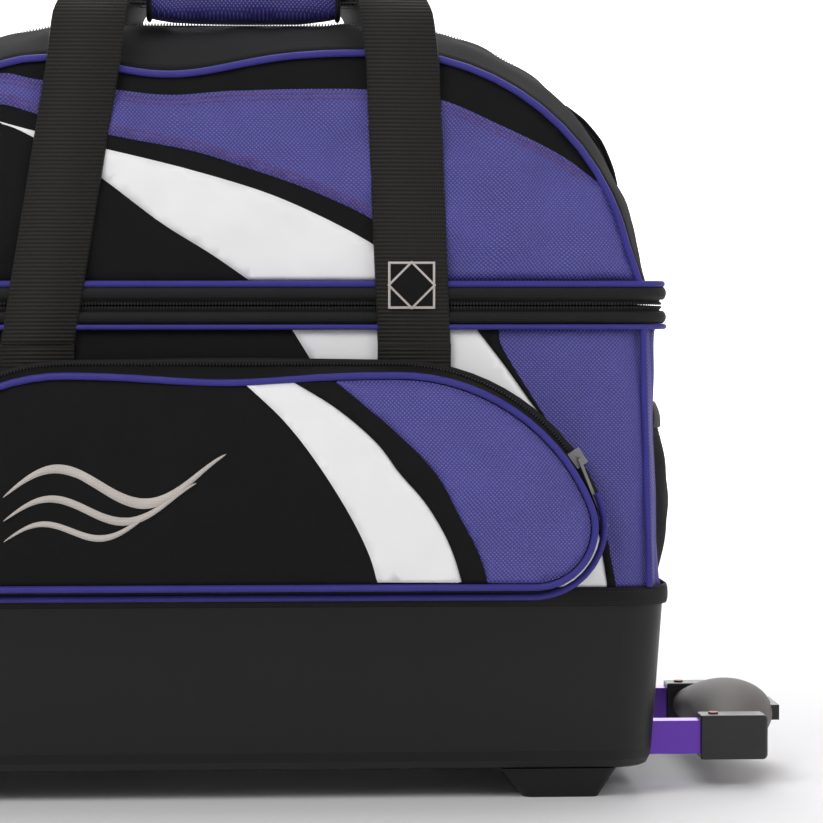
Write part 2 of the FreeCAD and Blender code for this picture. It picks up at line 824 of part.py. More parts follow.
BAND_HALF = (wall_half(size("wall_top"))[0] + size("band_proud"),
             wall_half(size("wall_top"))[1] + size("band_proud"))
COIL_LOW = size("wall_top") + size("band_depth")
SPLIT = COIL_LOW + size("coil_height") + size("coil_gap") / 2
COIL_HIGH = SPLIT + size("coil_gap") / 2
LID_BASE = COIL_HIGH + size("coil_height")
LID_SHELL_Z = LID_BASE + size("band_depth")


def band(label, low, high, proud):
    """One ring of the zip band."""
    outer = (BAND_HALF[0] + proud, BAND_HALF[1] + proud)
    inner = (BAND_HALF[0] - size("band_thickness"), BAND_HALF[1] - size("band_thickness"))
    feature(label, ring(low, high, outer, inner, size("corner_radius") + proud))


def make_zip_band():
    top = size("wall_top")
    band("zip_band_lower", top, COIL_LOW, 0)
    band("zip_coil_lower", COIL_LOW, COIL_LOW + size("coil_height"), -1)
    band("zip_coil_upper", COIL_HIGH, LID_BASE, -1)
    band("zip_band_upper", LID_BASE, LID_SHELL_Z, 0)
    strip = plain_box((-SEAM_X, BAND_HALF[1], top + 1),
                      (SEAM_X, BAND_HALF[1] + size("hinge_tape"), SPLIT - size("touch_gap")))
    feature("lid_hinge_strip", strip)


# ---------------------------------------------------------------- lid

LID_FACE_Y = size("tub_depth") / 2 - size("lid_inset")


def lid_outline(y, radius, top, base_half, inset=0.0, low=None):
    """The lid's arched section at one depth: flat top, two shoulders, two sides."""
    flat = size("lid_flat") / 2
    bottom = LID_SHELL_Z if low is None else low
    centre_z = size("wall_top") + top - radius
    radius = radius - inset
    angle = math.radians(size("side_angle"))
    foot = base_half - inset
    points = []
    for turn in (angle, (angle + math.pi / 2) / 2, math.pi / 2):
        points.append((flat + radius * math.cos(turn), centre_z + radius * math.sin(turn)))
    right = [Vector(x, y, z) for x, z in points]
    left = [Vector(-x, y, z) for x, z in reversed(points)]
    corner = Vector(foot, y, bottom)
    mirror = Vector(-foot, y, bottom)
    return Part.Wire([
        Part.makeLine(corner, right[0]),
        Part.Arc(*right).toShape(),
        Part.makeLine(right[2], left[0]),
        Part.Arc(*left).toShape(),
        Part.makeLine(left[2], mirror),
        Part.makeLine(mirror, corner),
    ])


def lid_section(share):
    """Radius, height and half length of the lid: share 0 at the crown, 1 at a face."""
    bulge = 1 - share * share
    radius = size("lid_face_radius")
    radius += (size("lid_crown_radius") - size("lid_face_radius")) * bulge
    top = size("lid_face_height")
    top += (size("lid_crown_height") - size("lid_face_height")) * bulge
    half = size("lid_face_length") / 2
    half += (size("lid_crown_length") - size("lid_face_length")) / 2 * bulge
    return radius, top, half


def make_lid():
    """The dome: two flat faces, an arched gusset between them, and a floor."""
    shell = size("lid_shell")
    inner_y = LID_FACE_Y - shell
    outer_wires = []
    inner_wires = []
    for share in (-1, -0.5, 0, 0.5, 1):
        radius, top, half = lid_section(share)
        outer_wires.append(lid_outline(share * inner_y, radius, top, half))
        inner_wires.append(lid_outline(share * (inner_y + 0.5), radius, top, half, shell,
                                       LID_SHELL_Z - 1))
    outside = Part.makeLoft(outer_wires, True, False)
    hollow = Part.makeLoft(inner_wires, True, False)
    feature("lid_gusset", outside.cut(hollow))
    cords = []
    plates = []
    radius, top, half = lid_section(1)
    for name, side in SIDES.items():
        outline = lid_outline(side * LID_FACE_Y, radius, top, half)
        plate = Part.Face(outline).extrude(Vector(0, -side * shell, 0))
        feature("lid_face_" + name, plate)
        plates.append(plate)
        cord = size("piping_radius")
        path = lid_outline(side * (LID_FACE_Y + cord + 0.1), radius, top, half, cord, LID_SHELL_Z + 5)
        path = Part.Wire(path.Edges[:5])
        start = path.Edges[0].valueAt(path.Edges[0].FirstParameter)
        circle = Part.Wire([Part.makeCircle(cord, start, path.Edges[0].tangentAt(0))])
        cords.append(path.makePipeShell([circle], True, False, ROUND_CORNERS))
    floor = plain_box((-BAND_HALF[0], -BAND_HALF[1], LID_BASE),
                      (BAND_HALF[0], BAND_HALF[1], LID_BASE + size("lid_floor_thickness")))
    inset = size("band_thickness") + 0.2
    trim = Part.Face(rounded_rectangle(BAND_HALF[0] - inset, BAND_HALF[1] - inset, LID_BASE,
                                       size("corner_radius") - inset))
    trim = trim.extrude(Vector(0, 0, size("lid_floor_thickness")))
    feature("lid_floor", floor.common(trim))
    gap = size("touch_gap")
    half = (size("lid_crown_length") / 2 + gap, LID_FACE_Y + gap)
    low = LID_SHELL_Z
    cord_ring = thin_ring(low, low + 2 * size("piping_radius"), half)
    for plate in plates:
        cord_ring = cord_ring.cut(plate)
    cords.append(cord_ring)
    feature("lid_piping", Part.makeCompound(cords))


def crown_strip(inner, outer, width, start, end, whole):
    """A strip on the lid's crown, between two angles of its shoulder arcs."""
    radius = size("lid_crown_radius")
    centre_x = size("lid_flat") / 2
    centre_z = size("wall_top") + size("lid_crown_height") - radius

    def arc(grow, sign, first, last):
        points = []
        for turn in (first, (first + last) / 2, last):
            x = centre_x + (radius + grow) * math.cos(math.radians(turn))
            z = centre_z + (radius + grow) * math.sin(math.radians(turn))
            points.append(Vector(sign * x, -width / 2, z))
        return points

    if whole:
        low = [arc(inner, 1, start, 90), arc(inner, -1, 90, start)]
        high = [arc(outer, 1, start, 90), arc(outer, -1, 90, start)]
        edges = [
            Part.Arc(*low[0]).toShape(),
            Part.makeLine(low[0][2], low[1][0]),
            Part.Arc(*low[1]).toShape(),
            Part.makeLine(low[1][2], high[1][2]),
            Part.Arc(*high[1]).toShape(),
            Part.makeLine(high[1][0], high[0][2]),
            Part.Arc(*high[0]).toShape(),
            Part.makeLine(high[0][0], low[0][0]),
        ]
    else:
        low = arc(inner, 1, start, end)
        high = arc(outer, 1, start, end)
        edges = [
            Part.Arc(*low).toShape(),
            Part.makeLine(low[2], high[2]),
            Part.Arc(*high).toShape(),
            Part.makeLine(high[0], low[0]),
        ]
    face = Part.Face(Part.Wire(Part.__sortEdges__(edges)))
    return face.extrude(Vector(0, width, 0))


def make_top_zip():
    """The long zip over the lid's crown, with a folded tab at the handle end."""
    gap = size("touch_gap")
    thick = size("top_zip_thickness")
    start = size("top_zip_angle")
    strip = crown_strip(gap, gap + thick, size("top_zip_width"), start, 90, True)
    low = gap + thick + 0.1
    tab = crown_strip(low, low + size("top_tab_thickness"), size("top_tab_width"), start,
                      start + size("top_tab_angle"), False)
    feature("top_zip", Part.makeCompound([strip, tab]))


# ---------------------------------------------------------------- front pocket

POCKET_BACK = -(size("tub_depth") / 2 + size("rim_binding_thickness") + size("touch_gap"))
POCKET_FRONT = POCKET_BACK - size("pocket_depth")


def pocket_points(grow):
    """Places on the pocket's outline, grown outward: right half, from the top."""
    centre_x = size("pocket_flat") / 2
    centre_z = size("pocket_middle")
    radius = size("pocket_radius")
    corner = size("pocket_corner")
    angle = math.radians(size("pocket_end_angle"))
    small_x = centre_x + (radius - corner) * math.cos(angle)
    small_z = centre_z + (radius - corner) * math.sin(angle)
    slope = math.radians(size("pocket_slope"))
    low = -math.pi / 2 + slope

    def on_arc(x, z, r, turn):
        return (x + r * math.cos(turn), z + r * math.sin(turn))

    top = on_arc(centre_x, centre_z, radius + grow, math.pi / 2)
    upper = on_arc(centre_x, centre_z, radius + grow, (math.pi / 2 + angle) / 2)
    join = on_arc(centre_x, centre_z, radius + grow, angle)
    lower = on_arc(small_x, small_z, corner + grow, (angle + low) / 2)
    foot = on_arc(small_x, small_z, corner + grow, low)
    bottom = (0.0, foot[1] - foot[0] * math.tan(slope))
    return top, upper, join, lower, foot, bottom


def pocket_outline(grow, y):
    """The pocket's closed outline at one depth."""
    right = [Vector(x, y, z) for x, z in pocket_points(grow)]
    left = [Vector(-p.x, p.y, p.z) for p in right]
    return Part.Wire([
        Part.makeLine(left[0], right[0]),
        Part.Arc(right[0], right[1], right[2]).toShape(),
        Part.Arc(right[2], right[3], right[4]).toShape(),
        Part.makeLine(right[4], right[5]),
        Part.makeLine(left[5], left[4]),
        Part.Arc(left[4], left[3], left[2]).toShape(),
        Part.Arc(left[2], left[1], left[0]).toShape(),
    ])


def pocket_band(inner, outer, near, far):
    """A flat strip along the pocket's top and end arcs."""
    strip = Part.Face(pocket_outline(outer, near)).extrude(Vector(0, far - near, 0))
    strip = strip.cut(Part.Face(pocket_outline(inner, near)).extrude(Vector(0, far - near, 0)))
    far_x = size("tub_length")
    low = pocket_points(0)[2][1]
    return strip.common(plain_box((-far_x, -far_x, low), (far_x, far_x, 2 * far_x)))


def make_pocket():
    """The zipped pocket: a panel on a flared gusset that hinges at its foot."""
    flare = size("pocket_flare")
    shell = size("pocket_shell")
    outside = Part.makeLoft([pocket_outline(flare, POCKET_BACK), pocket_outline(0, POCKET_FRONT)],
                            True, True)
    hollow = Part.makeLoft([pocket_outline(flare - shell, POCKET_BACK),
                            pocket_outline(-shell, POCKET_FRONT)], True, True)
    feature("pocket_gusset", outside.cut(hollow))
    panel = Part.Face(pocket_outline(0, POCKET_FRONT))
    feature("pocket_panel", panel.extrude(Vector(0, -size("pocket_panel"), 0)))
    cord = size("piping_radius")
    y = POCKET_FRONT - size("pocket_panel") + 1
    path = pocket_outline(cord + 0.2, y)
    start = path.Edges[0].valueAt(path.Edges[0].FirstParameter)
    circle = Part.Wire([Part.makeCircle(cord, start, Vector(1, 0, 0))])
    feature("pocket_piping", path.makePipeShell([circle], True, False, RIGHT_CORNERS))
    tape = size("pocket_tape")
    thick = size("pocket_tape_thickness")
    feature("pocket_zip_tape", pocket_band(flare + 0.4, flare + 0.4 + tape,
                                           POCKET_BACK - thick, POCKET_BACK))
    coil_y = POCKET_BACK - thick - 0.1
    feature("pocket_zip_coil", pocket_band(flare, flare + tape / 2, coil_y - thick, coil_y))
    return coil_y - thick


# ---------------------------------------------------------------- sliders

def make_pocket_slider(face_y):
    """The pocket's slider on its end arc, with a long flat pull."""
    centre = Vector(size("pocket_flat") / 2, 0, size("pocket_middle"))
    ride = size("pocket_radius") + size("pocket_flare") + size("slider_width") / 2
    ride -= size("slider_overlap")
    turn = math.radians(size("pocket_end_angle") + size("pocket_slider_turn"))
    middle = centre + Vector(ride * math.cos(turn), 0, ride * math.sin(turn))
    height = size("slider_height")
    block = Part.makeBox(size("slider_width"), height, size("slider_length"),
                         Vector(-size("slider_width") / 2, -height, -size("slider_length") / 2))
    block.rotate(Vector(), Vector(0, 1, 0), -math.degrees(turn))
    block.translate(Vector(middle.x, face_y - size("touch_gap"), middle.z))
    feature("pocket_slider", block)
    lean = size("pull_lean")
    front = face_y - size("touch_gap") - height - size("touch_gap")
    thick = size("pull_thickness")
    pulls = []
    tab = Part.makeBox(thick, size("pull_width"), size("pull_length"),
                       Vector(-thick / 2, 0, -size("pull_length")))
    tip = Part.makeBox(thick + 1, size("pull_width") + 2, size("pull_tip"),
                       Vector(-thick / 2 - 0.5, -1, -size("pull_length") - size("pull_tip")))
    for piece in (tab, tip):
        piece.rotate(Vector(), Vector(0, 1, 0), -lean)
        piece.translate(Vector(middle.x, front - size("pull_width") - 1, middle.z))
        pulls.append(piece)
    feature("pocket_pull", Part.makeCompound(pulls))


def make_band_sliders():
    """Two sliders that meet in the middle of the wheel end, each with a pull."""
    gap = size("touch_gap")
    face = -(BAND_HALF[0] + gap)
    height = size("slider_height")
    for name, side in SIDES.items():
        middle_y = side * (size("slider_length") / 2 + 1.5)
        slider = box("band_slider_" + name, "Sizes.slider_height", "Sizes.slider_length",
                     "Sizes.slider_width", face - height, middle_y - size("slider_length") / 2,
                     SPLIT - size("slider_width") / 2)
        keep(slider)
        thick = size("pull_thickness")
        pull = box("band_pull_" + name, "Sizes.pull_thickness", "Sizes.pull_width",
                   "Sizes.short_pull", face - height - gap - thick,
                   middle_y - size("pull_width") / 2, SPLIT - size("short_pull"))
        keep(pull)


def make_top_slider():
    """The lid zip's slider on the wheel-end shoulder, with its pull."""
    radius = size("lid_crown_radius")
    centre = Vector(-size("lid_flat") / 2, 0, size("wall_top") + size("lid_crown_height") - radius)
    turn = math.radians(180 - size("top_zip_angle") - size("top_slider_turn"))
    base = radius + size("touch_gap") * 2 + size("top_zip_thickness")
    height = size("slider_height")
    length = size("slider_length")
    width = size("slider_width")
    block = Part.makeBox(height, width, length, Vector(base, -width / 2, -length / 2))
    thick = size("pull_thickness")
    low = base + height + size("touch_gap")
    pull = Part.makeBox(thick, size("pull_width"), size("short_pull"),
                        Vector(low, -size("pull_width") / 2, 0))
    for label, piece in (("top_slider", block), ("top_pull", pull)):
        piece.rotate(Vector(), Vector(0, 1, 0), -math.degrees(turn))
        piece.translate(centre)
        feature(label, piece)


# ---------------------------------------------------------------- straps

STRAP_Y = BAND_HALF[1] + 0.7 + size("webbing") / 2
CROWN_TOP = size("wall_top") + size("lid_crown_height")
STRAP_TOP = CROWN_TOP + size("strap_rise")
STRAP_SHOULDER = CROWN_TOP - size("shoulder_drop")


def strap_section(centre, across, facing, width, thick):
    """A rectangle of webbing: its width runs along across, its face along facing."""
    across = Vector(across).normalize() * (width / 2)
    facing = Vector(facing).normalize() * (thick / 2)
    middle = Vector(centre)
    corners = [middle - across - facing, middle + across - facing,
               middle + across + facing, middle - across + facing]
    return Part.makePolygon(corners + [corners[0]])


def strap_loop(side, foot_z, run_y):
    """One carrying loop: two legs, two shoulders and the folded run between them."""
    wide = size("webbing_width")
    thick = size("webbing")
    lean = size("strap_lean")
    top = STRAP_TOP
    shoulder = STRAP_SHOULDER
    leg = side * STRAP_Y
    depth = leg - run_y
    rise = (foot_z - size("strap_hinge")) / (shoulder - size("strap_hinge"))
    folded = (size("run_width"), size("run_thickness"))
    halves = []
    for end in (1, -1):
        low_x = end * size("strap_spacing_low") / 2 + size("strap_shift")
        high_x = end * size("strap_spacing_high") / 2 + lean
        foot_x = low_x + (high_x - low_x) * rise
        run_x = end * size("grip_length") / 2 + lean
        halves.append([
            strap_section((foot_x, leg, foot_z), (end, 0, 0), (0, side, 0), wide, thick),
            strap_section((high_x, leg, shoulder), (end, 0, 0), (0, side, 0), wide, thick),
            strap_section((high_x - 4 * end, leg - depth * 0.06, top - 19), (end, 0, 0),
                          (0, side, 0.5), wide, thick),
            strap_section((high_x - 9 * end, leg - depth * 0.25, top - 4),
                          (end, -side * 0.2, 0), (0, side * 0.4, 1), wide * 0.9, thick * 1.3),
            strap_section((run_x + 14 * end, run_y + depth * 0.3, top),
                          (end * 0.8, -side * 0.6, 0), (0, 0, 1), wide * 0.75, thick * 1.7),
            strap_section((run_x + 4 * end, run_y + depth * 0.08, top),
                          (end * 0.3, -side, 0), (0, 0, 1), *folded),
            strap_section((run_x, run_y, top), (0, -side, 0), (0, 0, 1), *folded),
        ])
    return Part.makeLoft(halves[0] + halves[1][::-1], True, True)


def make_straps():
    """Front and rear loops, their sewn anchors, the padded wrap and a patch."""
    run_front = -size("grip_offset")
    run_rear = run_front + size("wrap_depth") / 2 + size("run_gap") + size("run_width") / 2
    foot = size("strap_hinge") + size("strap_foot_rise")
    feature("front_strap", strap_loop(-1, foot, run_front))
    rear_foot = SPLIT + size("strap_foot_rise")
    feature("rear_strap", strap_loop(1, rear_foot, run_rear))

    anchors = []
    wide = size("webbing_width")
    for side, high in ((-1, size("anchor_high")), (1, SPLIT - size("rear_anchor_drop"))):
        for end in (1, -1):
            x = end * size("strap_spacing_low") / 2 + size("strap_shift") - wide / 2
            outer = STRAP_Y + size("webbing") / 2
            if side < 0:
                inner = wall_half(size("anchor_low"))[1] + size("touch_gap")
            else:
                inner = BAND_HALF[1] + size("rear_anchor_gap")
            low = (x, min(side * outer, side * inner), size("anchor_low"))
            top = (x + wide, max(side * outer, side * inner), high)
            anchors.append(plain_box(low, top))
    feature("strap_anchors", Part.makeCompound(anchors))

    length = size("grip_length") - size("wrap_shorter")
    depth = size("wrap_depth")
    tall = size("wrap_height")
    low = Vector(size("strap_lean") - length / 2, run_front - depth / 2, STRAP_TOP - tall / 2)
    wrap = Part.makeBox(length, depth, tall, low)
    long_edges = [edge for edge in wrap.Edges if edge.Length > length - 1]
    wrap = wrap.makeFillet(size("wrap_corner"), long_edges)
    hole = Part.makeBox(length, size("run_width"), size("run_thickness"),
                        Vector(low.x, run_front - size("run_width") / 2,
                               STRAP_TOP - size("run_thickness") / 2))
    feature("grip_wrap", wrap.cut(hole))

    side = size("patch_side")
    rise = (size("patch_middle") - size("strap_hinge"))
    rise /= STRAP_SHOULDER - size("strap_hinge")
    low_x = size("strap_spacing_low") / 2 + size("strap_shift")
    high_x = size("strap_spacing_high") / 2 + size("strap_lean")
    x = low_x + (high_x - low_x) * rise
    face = -(STRAP_Y + size("webbing") / 2)
    patch = box("strap_patch", "Sizes.patch_side", "Sizes.patch_thickness", "Sizes.patch_side",
                x - side / 2, face - size("patch_thickness"), size("patch_middle") - side / 2)
    keep(patch)


# ---------------------------------------------------------------- build

make_tub()
make_wheel_housings()
make_rim_binding()
make_feet()
for wheel_name, wheel_side in SIDES.items():
    make_wheel(wheel_name, wheel_side)
make_axles()
make_guides()
make_handle()
make_interior()
make_walls()
make_body_piping()
make_mesh_pocket()
make_zip_band()
make_lid()
make_top_zip()
make_pocket_slider(make_pocket())
make_band_sliders()
make_top_slider()
make_straps()
doc.recompute()

for item in doc.Objects:
    for state in item.State:
        if state in ("Invalid", "Error"):
            raise RuntimeError(f"{item.Name} is {state}")

whole = FreeCAD.BoundBox()
for item in SUB_PARTS:
    if item.Shape.isNull() or not item.Shape.isValid():
        raise RuntimeError(f"{item.Label} has no valid shape")
    whole.add(item.Shape.optimalBoundingBox())
to_origin = Vector(-whole.Center.x, -whole.Center.y, -whole.ZMin)
for item in SUB_PARTS:
    item.Placement = Placement(to_origin, Rotation()) * item.Placement
doc.recompute()
print(f"origin shift {to_origin.x:.3f} {to_origin.y:.3f} {to_origin.z:.3f}")
print(f"whole size {whole.XLength:.1f} {whole.YLength:.1f} {whole.ZLength:.1f}")
print(f"{len(SUB_PARTS)} sub-parts")

os.makedirs("parts", exist_ok=True)
for item in SUB_PARTS:
    item.Shape.exportStep(f"parts/{item.Label}.step")
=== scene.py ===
"""Scene for a two-ball roller bag: cloth, webbing, zips and mouldings around the CAD frame."""

import math

import bmesh
import bpy
from bpy.props import FloatProperty, FloatVectorProperty, PointerProperty
from bpy.types import Operator, Panel, PropertyGroup
from mathutils import Matrix, Vector, noise
from mathutils.geometry import delaunay_2d_cdt


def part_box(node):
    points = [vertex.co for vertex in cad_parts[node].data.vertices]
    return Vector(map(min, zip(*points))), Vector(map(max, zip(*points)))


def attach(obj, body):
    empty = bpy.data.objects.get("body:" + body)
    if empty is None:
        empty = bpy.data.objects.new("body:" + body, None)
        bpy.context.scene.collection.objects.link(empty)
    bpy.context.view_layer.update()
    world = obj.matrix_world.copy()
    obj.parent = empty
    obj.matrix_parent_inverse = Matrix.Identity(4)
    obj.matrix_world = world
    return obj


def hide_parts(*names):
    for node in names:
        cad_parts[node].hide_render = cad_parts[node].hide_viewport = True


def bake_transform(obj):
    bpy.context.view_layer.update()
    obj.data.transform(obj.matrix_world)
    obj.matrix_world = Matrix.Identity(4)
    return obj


bl_info = {
    "name": "Roller Bag",
    "version": (1, 0, 0),
    "blender": (4, 5, 0),
    "location": "View3D > Sidebar > Roller Bag",
    "description": "Makes a bowling ball roller bag piece by piece",
    "category": "Add Mesh",
}

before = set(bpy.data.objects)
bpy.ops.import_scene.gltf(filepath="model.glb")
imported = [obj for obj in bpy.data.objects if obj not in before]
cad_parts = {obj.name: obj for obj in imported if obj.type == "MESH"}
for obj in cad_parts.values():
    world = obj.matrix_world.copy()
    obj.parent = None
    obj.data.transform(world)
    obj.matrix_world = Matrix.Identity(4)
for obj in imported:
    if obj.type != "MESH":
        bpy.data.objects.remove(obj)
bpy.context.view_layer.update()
MM = 0.001


def corners(node):
    """A node's lowest and highest corner, as vectors."""
    low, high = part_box(node)
    return Vector(low), Vector(high)


TUB_LOW, TUB_HIGH = corners("tub")
MIDDLE_X = (TUB_LOW.x + TUB_HIGH.x) / 2
MIDDLE_Y = (TUB_LOW.y + TUB_HIGH.y) / 2


def at(x, y, z):
    """A place in the bag's own millimetres, about the middle of the tub, in the frame's metres."""
    return Vector((MIDDLE_X + x * MM, MIDDLE_Y + y * MM, z * MM))


# ------------------------------------------------------------------ sizes

WALL_LOW = 152
WALL_TOP = 336
RIM_LOW = 143
RIM_HIGH = 156
TUB_HALF = (299, 155)
BAND_HALF = (298.5, 155.5)
CORNER = 30
LID_SHELL = 362
LID_FLAT = 104
LID_FACE_Y = 149
FACE_SHAPE = (171, 185, 280)
CROWN_SHAPE = (185, 211, 294)
SIDE_ANGLE = 13
POCKET_BACK = 158.3
POCKET_DEPTH = 32
POCKET_SKIN = 193.4
POCKET_FLARE = 7
POCKET_CENTRE = (110, 161)
POCKET_RADIUS = 140
POCKET_CORNER = 38
POCKET_TURN = 22
STRAP_Y = 157.3
STRAP_TOP = 568
STRAP_SHOULDER = 515
STRAP_LEAN = 8
STRAP_HINGE = 322
STRAP_FOOT_X = 128
STRAP_SHOULDER_X = 108
STRAP_SHIFT = -4
WEBBING_WIDTH = 50
RUN_FRONT = -44
RUN_REAR = -10
GRIP_HALF = 68.5
CAMERA_AT = (12, -2277, 361)
CAMERA_AIM = (130.2, 0, 270.6)


class RollerBagCloth(PropertyGroup):
    mesh_colour: FloatVectorProperty(
        name="Panel cloth", description="Colour of the blue-violet dobby cloth",
        subtype="COLOR", default=(0.027, 0.021, 0.155), min=0, max=1)
    puff: FloatProperty(
        name="Puff", description="How far a padded panel swells, in millimetres",
        default=5.0, min=0, max=8)
    diamond: FloatProperty(
        name="Diamond", description="Pitch of the diamond weave, in millimetres",
        default=2.8, min=1.5, max=6)


class RollerBagTrim(PropertyGroup):
    piping: FloatProperty(
        name="Piping", description="Radius of the covered cord, in millimetres",
        default=2.4, min=1.5, max=4)
    tooth_pitch: FloatProperty(
        name="Tooth pitch", description="Distance between zip teeth, in millimetres",
        default=2.2, min=1.5, max=4)
    stitch_pitch: FloatProperty(
        name="Stitch pitch", description="Distance between stitches, in millimetres",
        default=3.4, min=2, max=8)
    rib_pitch: FloatProperty(
        name="Rib pitch", description="Distance between webbing ribs, in millimetres",
        default=2.7, min=1.5, max=5)


class RollerBagStage(PropertyGroup):
    lens: FloatProperty(
        name="Lens", description="Focal length, in millimetres", default=136.2, min=50, max=300)


# ------------------------------------------------------------------ materials

def linear(code):
    """An sRGB hex colour as the linear colour a shader takes."""
    parts = [int(code[i:i + 2], 16) / 255 for i in (0, 2, 4)]
    return tuple(c / 12.92 if c <= 0.04045 else ((c + 0.055) / 1.055) ** 2.4 for c in parts) + (1,)


def node(tree, kind, settings=None, links=None):
    """A node of this kind, with its properties and input values set and its inputs linked."""
    made = tree.nodes.new(kind)
    for name, value in (settings or {}).items():
        if isinstance(name, int) or name in made.inputs:
            made.inputs[name].default_value = value
        else:
            setattr(made, name, value)
    for name, source in (links or {}).items():
        tree.links.new(source, made.inputs[name])
    return made


def shader(name, base, roughness, **fixed):
    """A new material with one Principled shader."""
    made = bpy.data.materials.new(name)
    made.use_nodes = True
    tree = made.node_tree
    bsdf = tree.nodes["Principled BSDF"]
    bsdf.inputs["Base Color"].default_value = linear(base)
    bsdf.inputs["Roughness"].default_value = roughness
    for key, value in fixed.items():
        bsdf.inputs[key.replace("_", " ")].default_value = value
    return made, tree, bsdf


def coordinates(tree, uv=False):
    """Object coordinates in millimetres, or the piece's UV map."""
    source = node(tree, "ShaderNodeTexCoord").outputs["UV" if uv else "Object"]
    return node(tree, "ShaderNodeVectorMath", {"operation": "SCALE", "Scale": 1000.0},
                {0: source}).outputs[0]


def sum_of(tree, *signals):
    total = signals[0]
    for signal in signals[1:]:
        total = node(tree, "ShaderNodeMath", {"operation": "ADD"}, {0: total, 1: signal}).outputs[0]
    return total


def wave_of(tree, signal, pitch):
    """A sine from 0 to 1 of a length in millimetres."""
    turn = node(tree, "ShaderNodeMath", {"operation": "MULTIPLY", 1: math.tau / pitch}, {0: signal})
    sine = node(tree, "ShaderNodeMath", {"operation": "SINE"}, {0: turn.outputs[0]})
    return node(tree, "ShaderNodeMath", {"operation": "MULTIPLY_ADD", 1: 0.5, 2: 0.5},
                {0: sine.outputs[0]}).outputs[0]


def blotches(tree, place, grain):
    """Soft noise with features of this size in millimetres."""
    return node(tree, "ShaderNodeTexNoise", {"Scale": 1.0 / grain, "Detail": 4.0},
                {"Vector": place}).outputs[0]


def raise_by(tree, bsdf, height, distance, strength=0.6, under=None):
    """Bump of this depth in millimetres."""
    links = {"Height": height}
    if under is not None:
        links["Normal"] = under.outputs[0]
    bump = node(tree, "ShaderNodeBump", {"Distance": distance * MM, "Strength": strength}, links)
    tree.links.new(bump.outputs[0], bsdf.inputs["Normal"])
    return bump


def blend_colours(tree, bsdf, share, dark, light):
    ramp = node(tree, "ShaderNodeValToRGB", None, {"Fac": share})
    ramp.color_ramp.elements[0].color = linear(dark) if isinstance(dark, str) else dark
    ramp.color_ramp.elements[1].color = linear(light) if isinstance(light, str) else light
    tree.links.new(ramp.outputs[0], bsdf.inputs["Base Color"])
    return ramp


def vary_roughness(tree, bsdf, share, low, high):
    spread = node(tree, "ShaderNodeMapRange", {"To Min": low, "To Max": high}, {"Value": share})
    tree.links.new(spread.outputs[0], bsdf.inputs["Roughness"])


def dobby_cloth(name, dark, light, pitch, roughness, rolled=False, sheen=0.25, gloss=0.6):
    """Coated polyester dobby: raised diamonds that catch the light, on a darker ground.

    On a rolled pad the diamonds run round it, so that its top has them too.
    """
    made, tree, bsdf = shader(name, dark, roughness, Sheen_Weight=sheen, Sheen_Roughness=0.4,
                              Specular_IOR_Level=gloss)
    place = coordinates(tree)
    split = node(tree, "ShaderNodeSeparateXYZ", None, {0: place})
    if rolled:
        across, up = split.outputs[0], sum_of(tree, split.outputs[1], split.outputs[2])
    else:
        across, up = sum_of(tree, split.outputs[0], split.outputs[1]), split.outputs[2]
    minus = node(tree, "ShaderNodeMath", {"operation": "SUBTRACT"}, {0: across, 1: up}).outputs[0]
    first = wave_of(tree, sum_of(tree, across, up), pitch)
    second = wave_of(tree, minus, pitch)
    weave = node(tree, "ShaderNodeMath", {"operation": "MULTIPLY"}, {0: first, 1: second}).outputs[0]
    cloud = blotches(tree, place, 30)
    share = node(tree, "ShaderNodeMath", {"operation": "MULTIPLY_ADD", 1: 0.22}, {0: cloud, 2: weave})
    blend_colours(tree, bsdf, share.outputs[0], dark, light)
    vary_roughness(tree, bsdf, weave, roughness + 0.14, roughness - 0.06)
    raise_by(tree, bsdf, weave, 0.5, 0.9)
    return made


def plain_cloth(name, dark, light, thread, roughness, sheen=0.03):
    """Plain-woven polyester: fine crossing threads with a faint bloom."""
    made, tree, bsdf = shader(name, dark, roughness, Sheen_Weight=sheen, Sheen_Roughness=0.5,
                              Specular_IOR_Level=0.22)
    place = coordinates(tree)
    split = node(tree, "ShaderNodeSeparateXYZ", None, {0: place})
    across = wave_of(tree, sum_of(tree, split.outputs[0], split.outputs[1]), thread)
    up = wave_of(tree, split.outputs[2], thread)
    weave = node(tree, "ShaderNodeMath", {"operation": "MULTIPLY"}, {0: across, 1: up}).outputs[0]
    cloud = blotches(tree, place, 24)
    share = node(tree, "ShaderNodeMath", {"operation": "MULTIPLY_ADD", 1: 0.5}, {0: cloud, 2: weave})
    blend_colours(tree, bsdf, share.outputs[0], dark, light)
    raise_by(tree, bsdf, weave, 0.2, 0.5)
    return made


def ribbed_webbing(name, dark, light, pitch):
    """Polyester webbing: cross ribs, each with a lit crest; the ribs follow the UV map."""
    made, tree, bsdf = shader(name, dark, 0.62, Sheen_Weight=0.03, Specular_IOR_Level=0.25)
    place = coordinates(tree, True)
    split = node(tree, "ShaderNodeSeparateXYZ", None, {0: place})
    ribs = wave_of(tree, split.outputs[1], pitch)
    threads = wave_of(tree, split.outputs[0], 1.4)
    height = node(tree, "ShaderNodeMath", {"operation": "MULTIPLY_ADD", 1: 0.25},
                  {0: threads, 2: ribs}).outputs[0]
    blend_colours(tree, bsdf, height, dark, light)
    raise_by(tree, bsdf, height, 0.5, 0.8)
    return made


def moulded(name, base, worn, roughness, grain, depth, **fixed):
    """A moulding or coating: fine grit in the surface and slow changes of gloss."""
    made, tree, bsdf = shader(name, base, roughness, **fixed)
    place = coordinates(tree)
    grit = blotches(tree, place, grain)
    cloud = blotches(tree, place, 45)
    blend_colours(tree, bsdf, cloud, base, worn)
    vary_roughness(tree, bsdf, cloud, roughness - 0.06, roughness + 0.08)
    raise_by(tree, bsdf, grit, depth, 0.5)
    return made


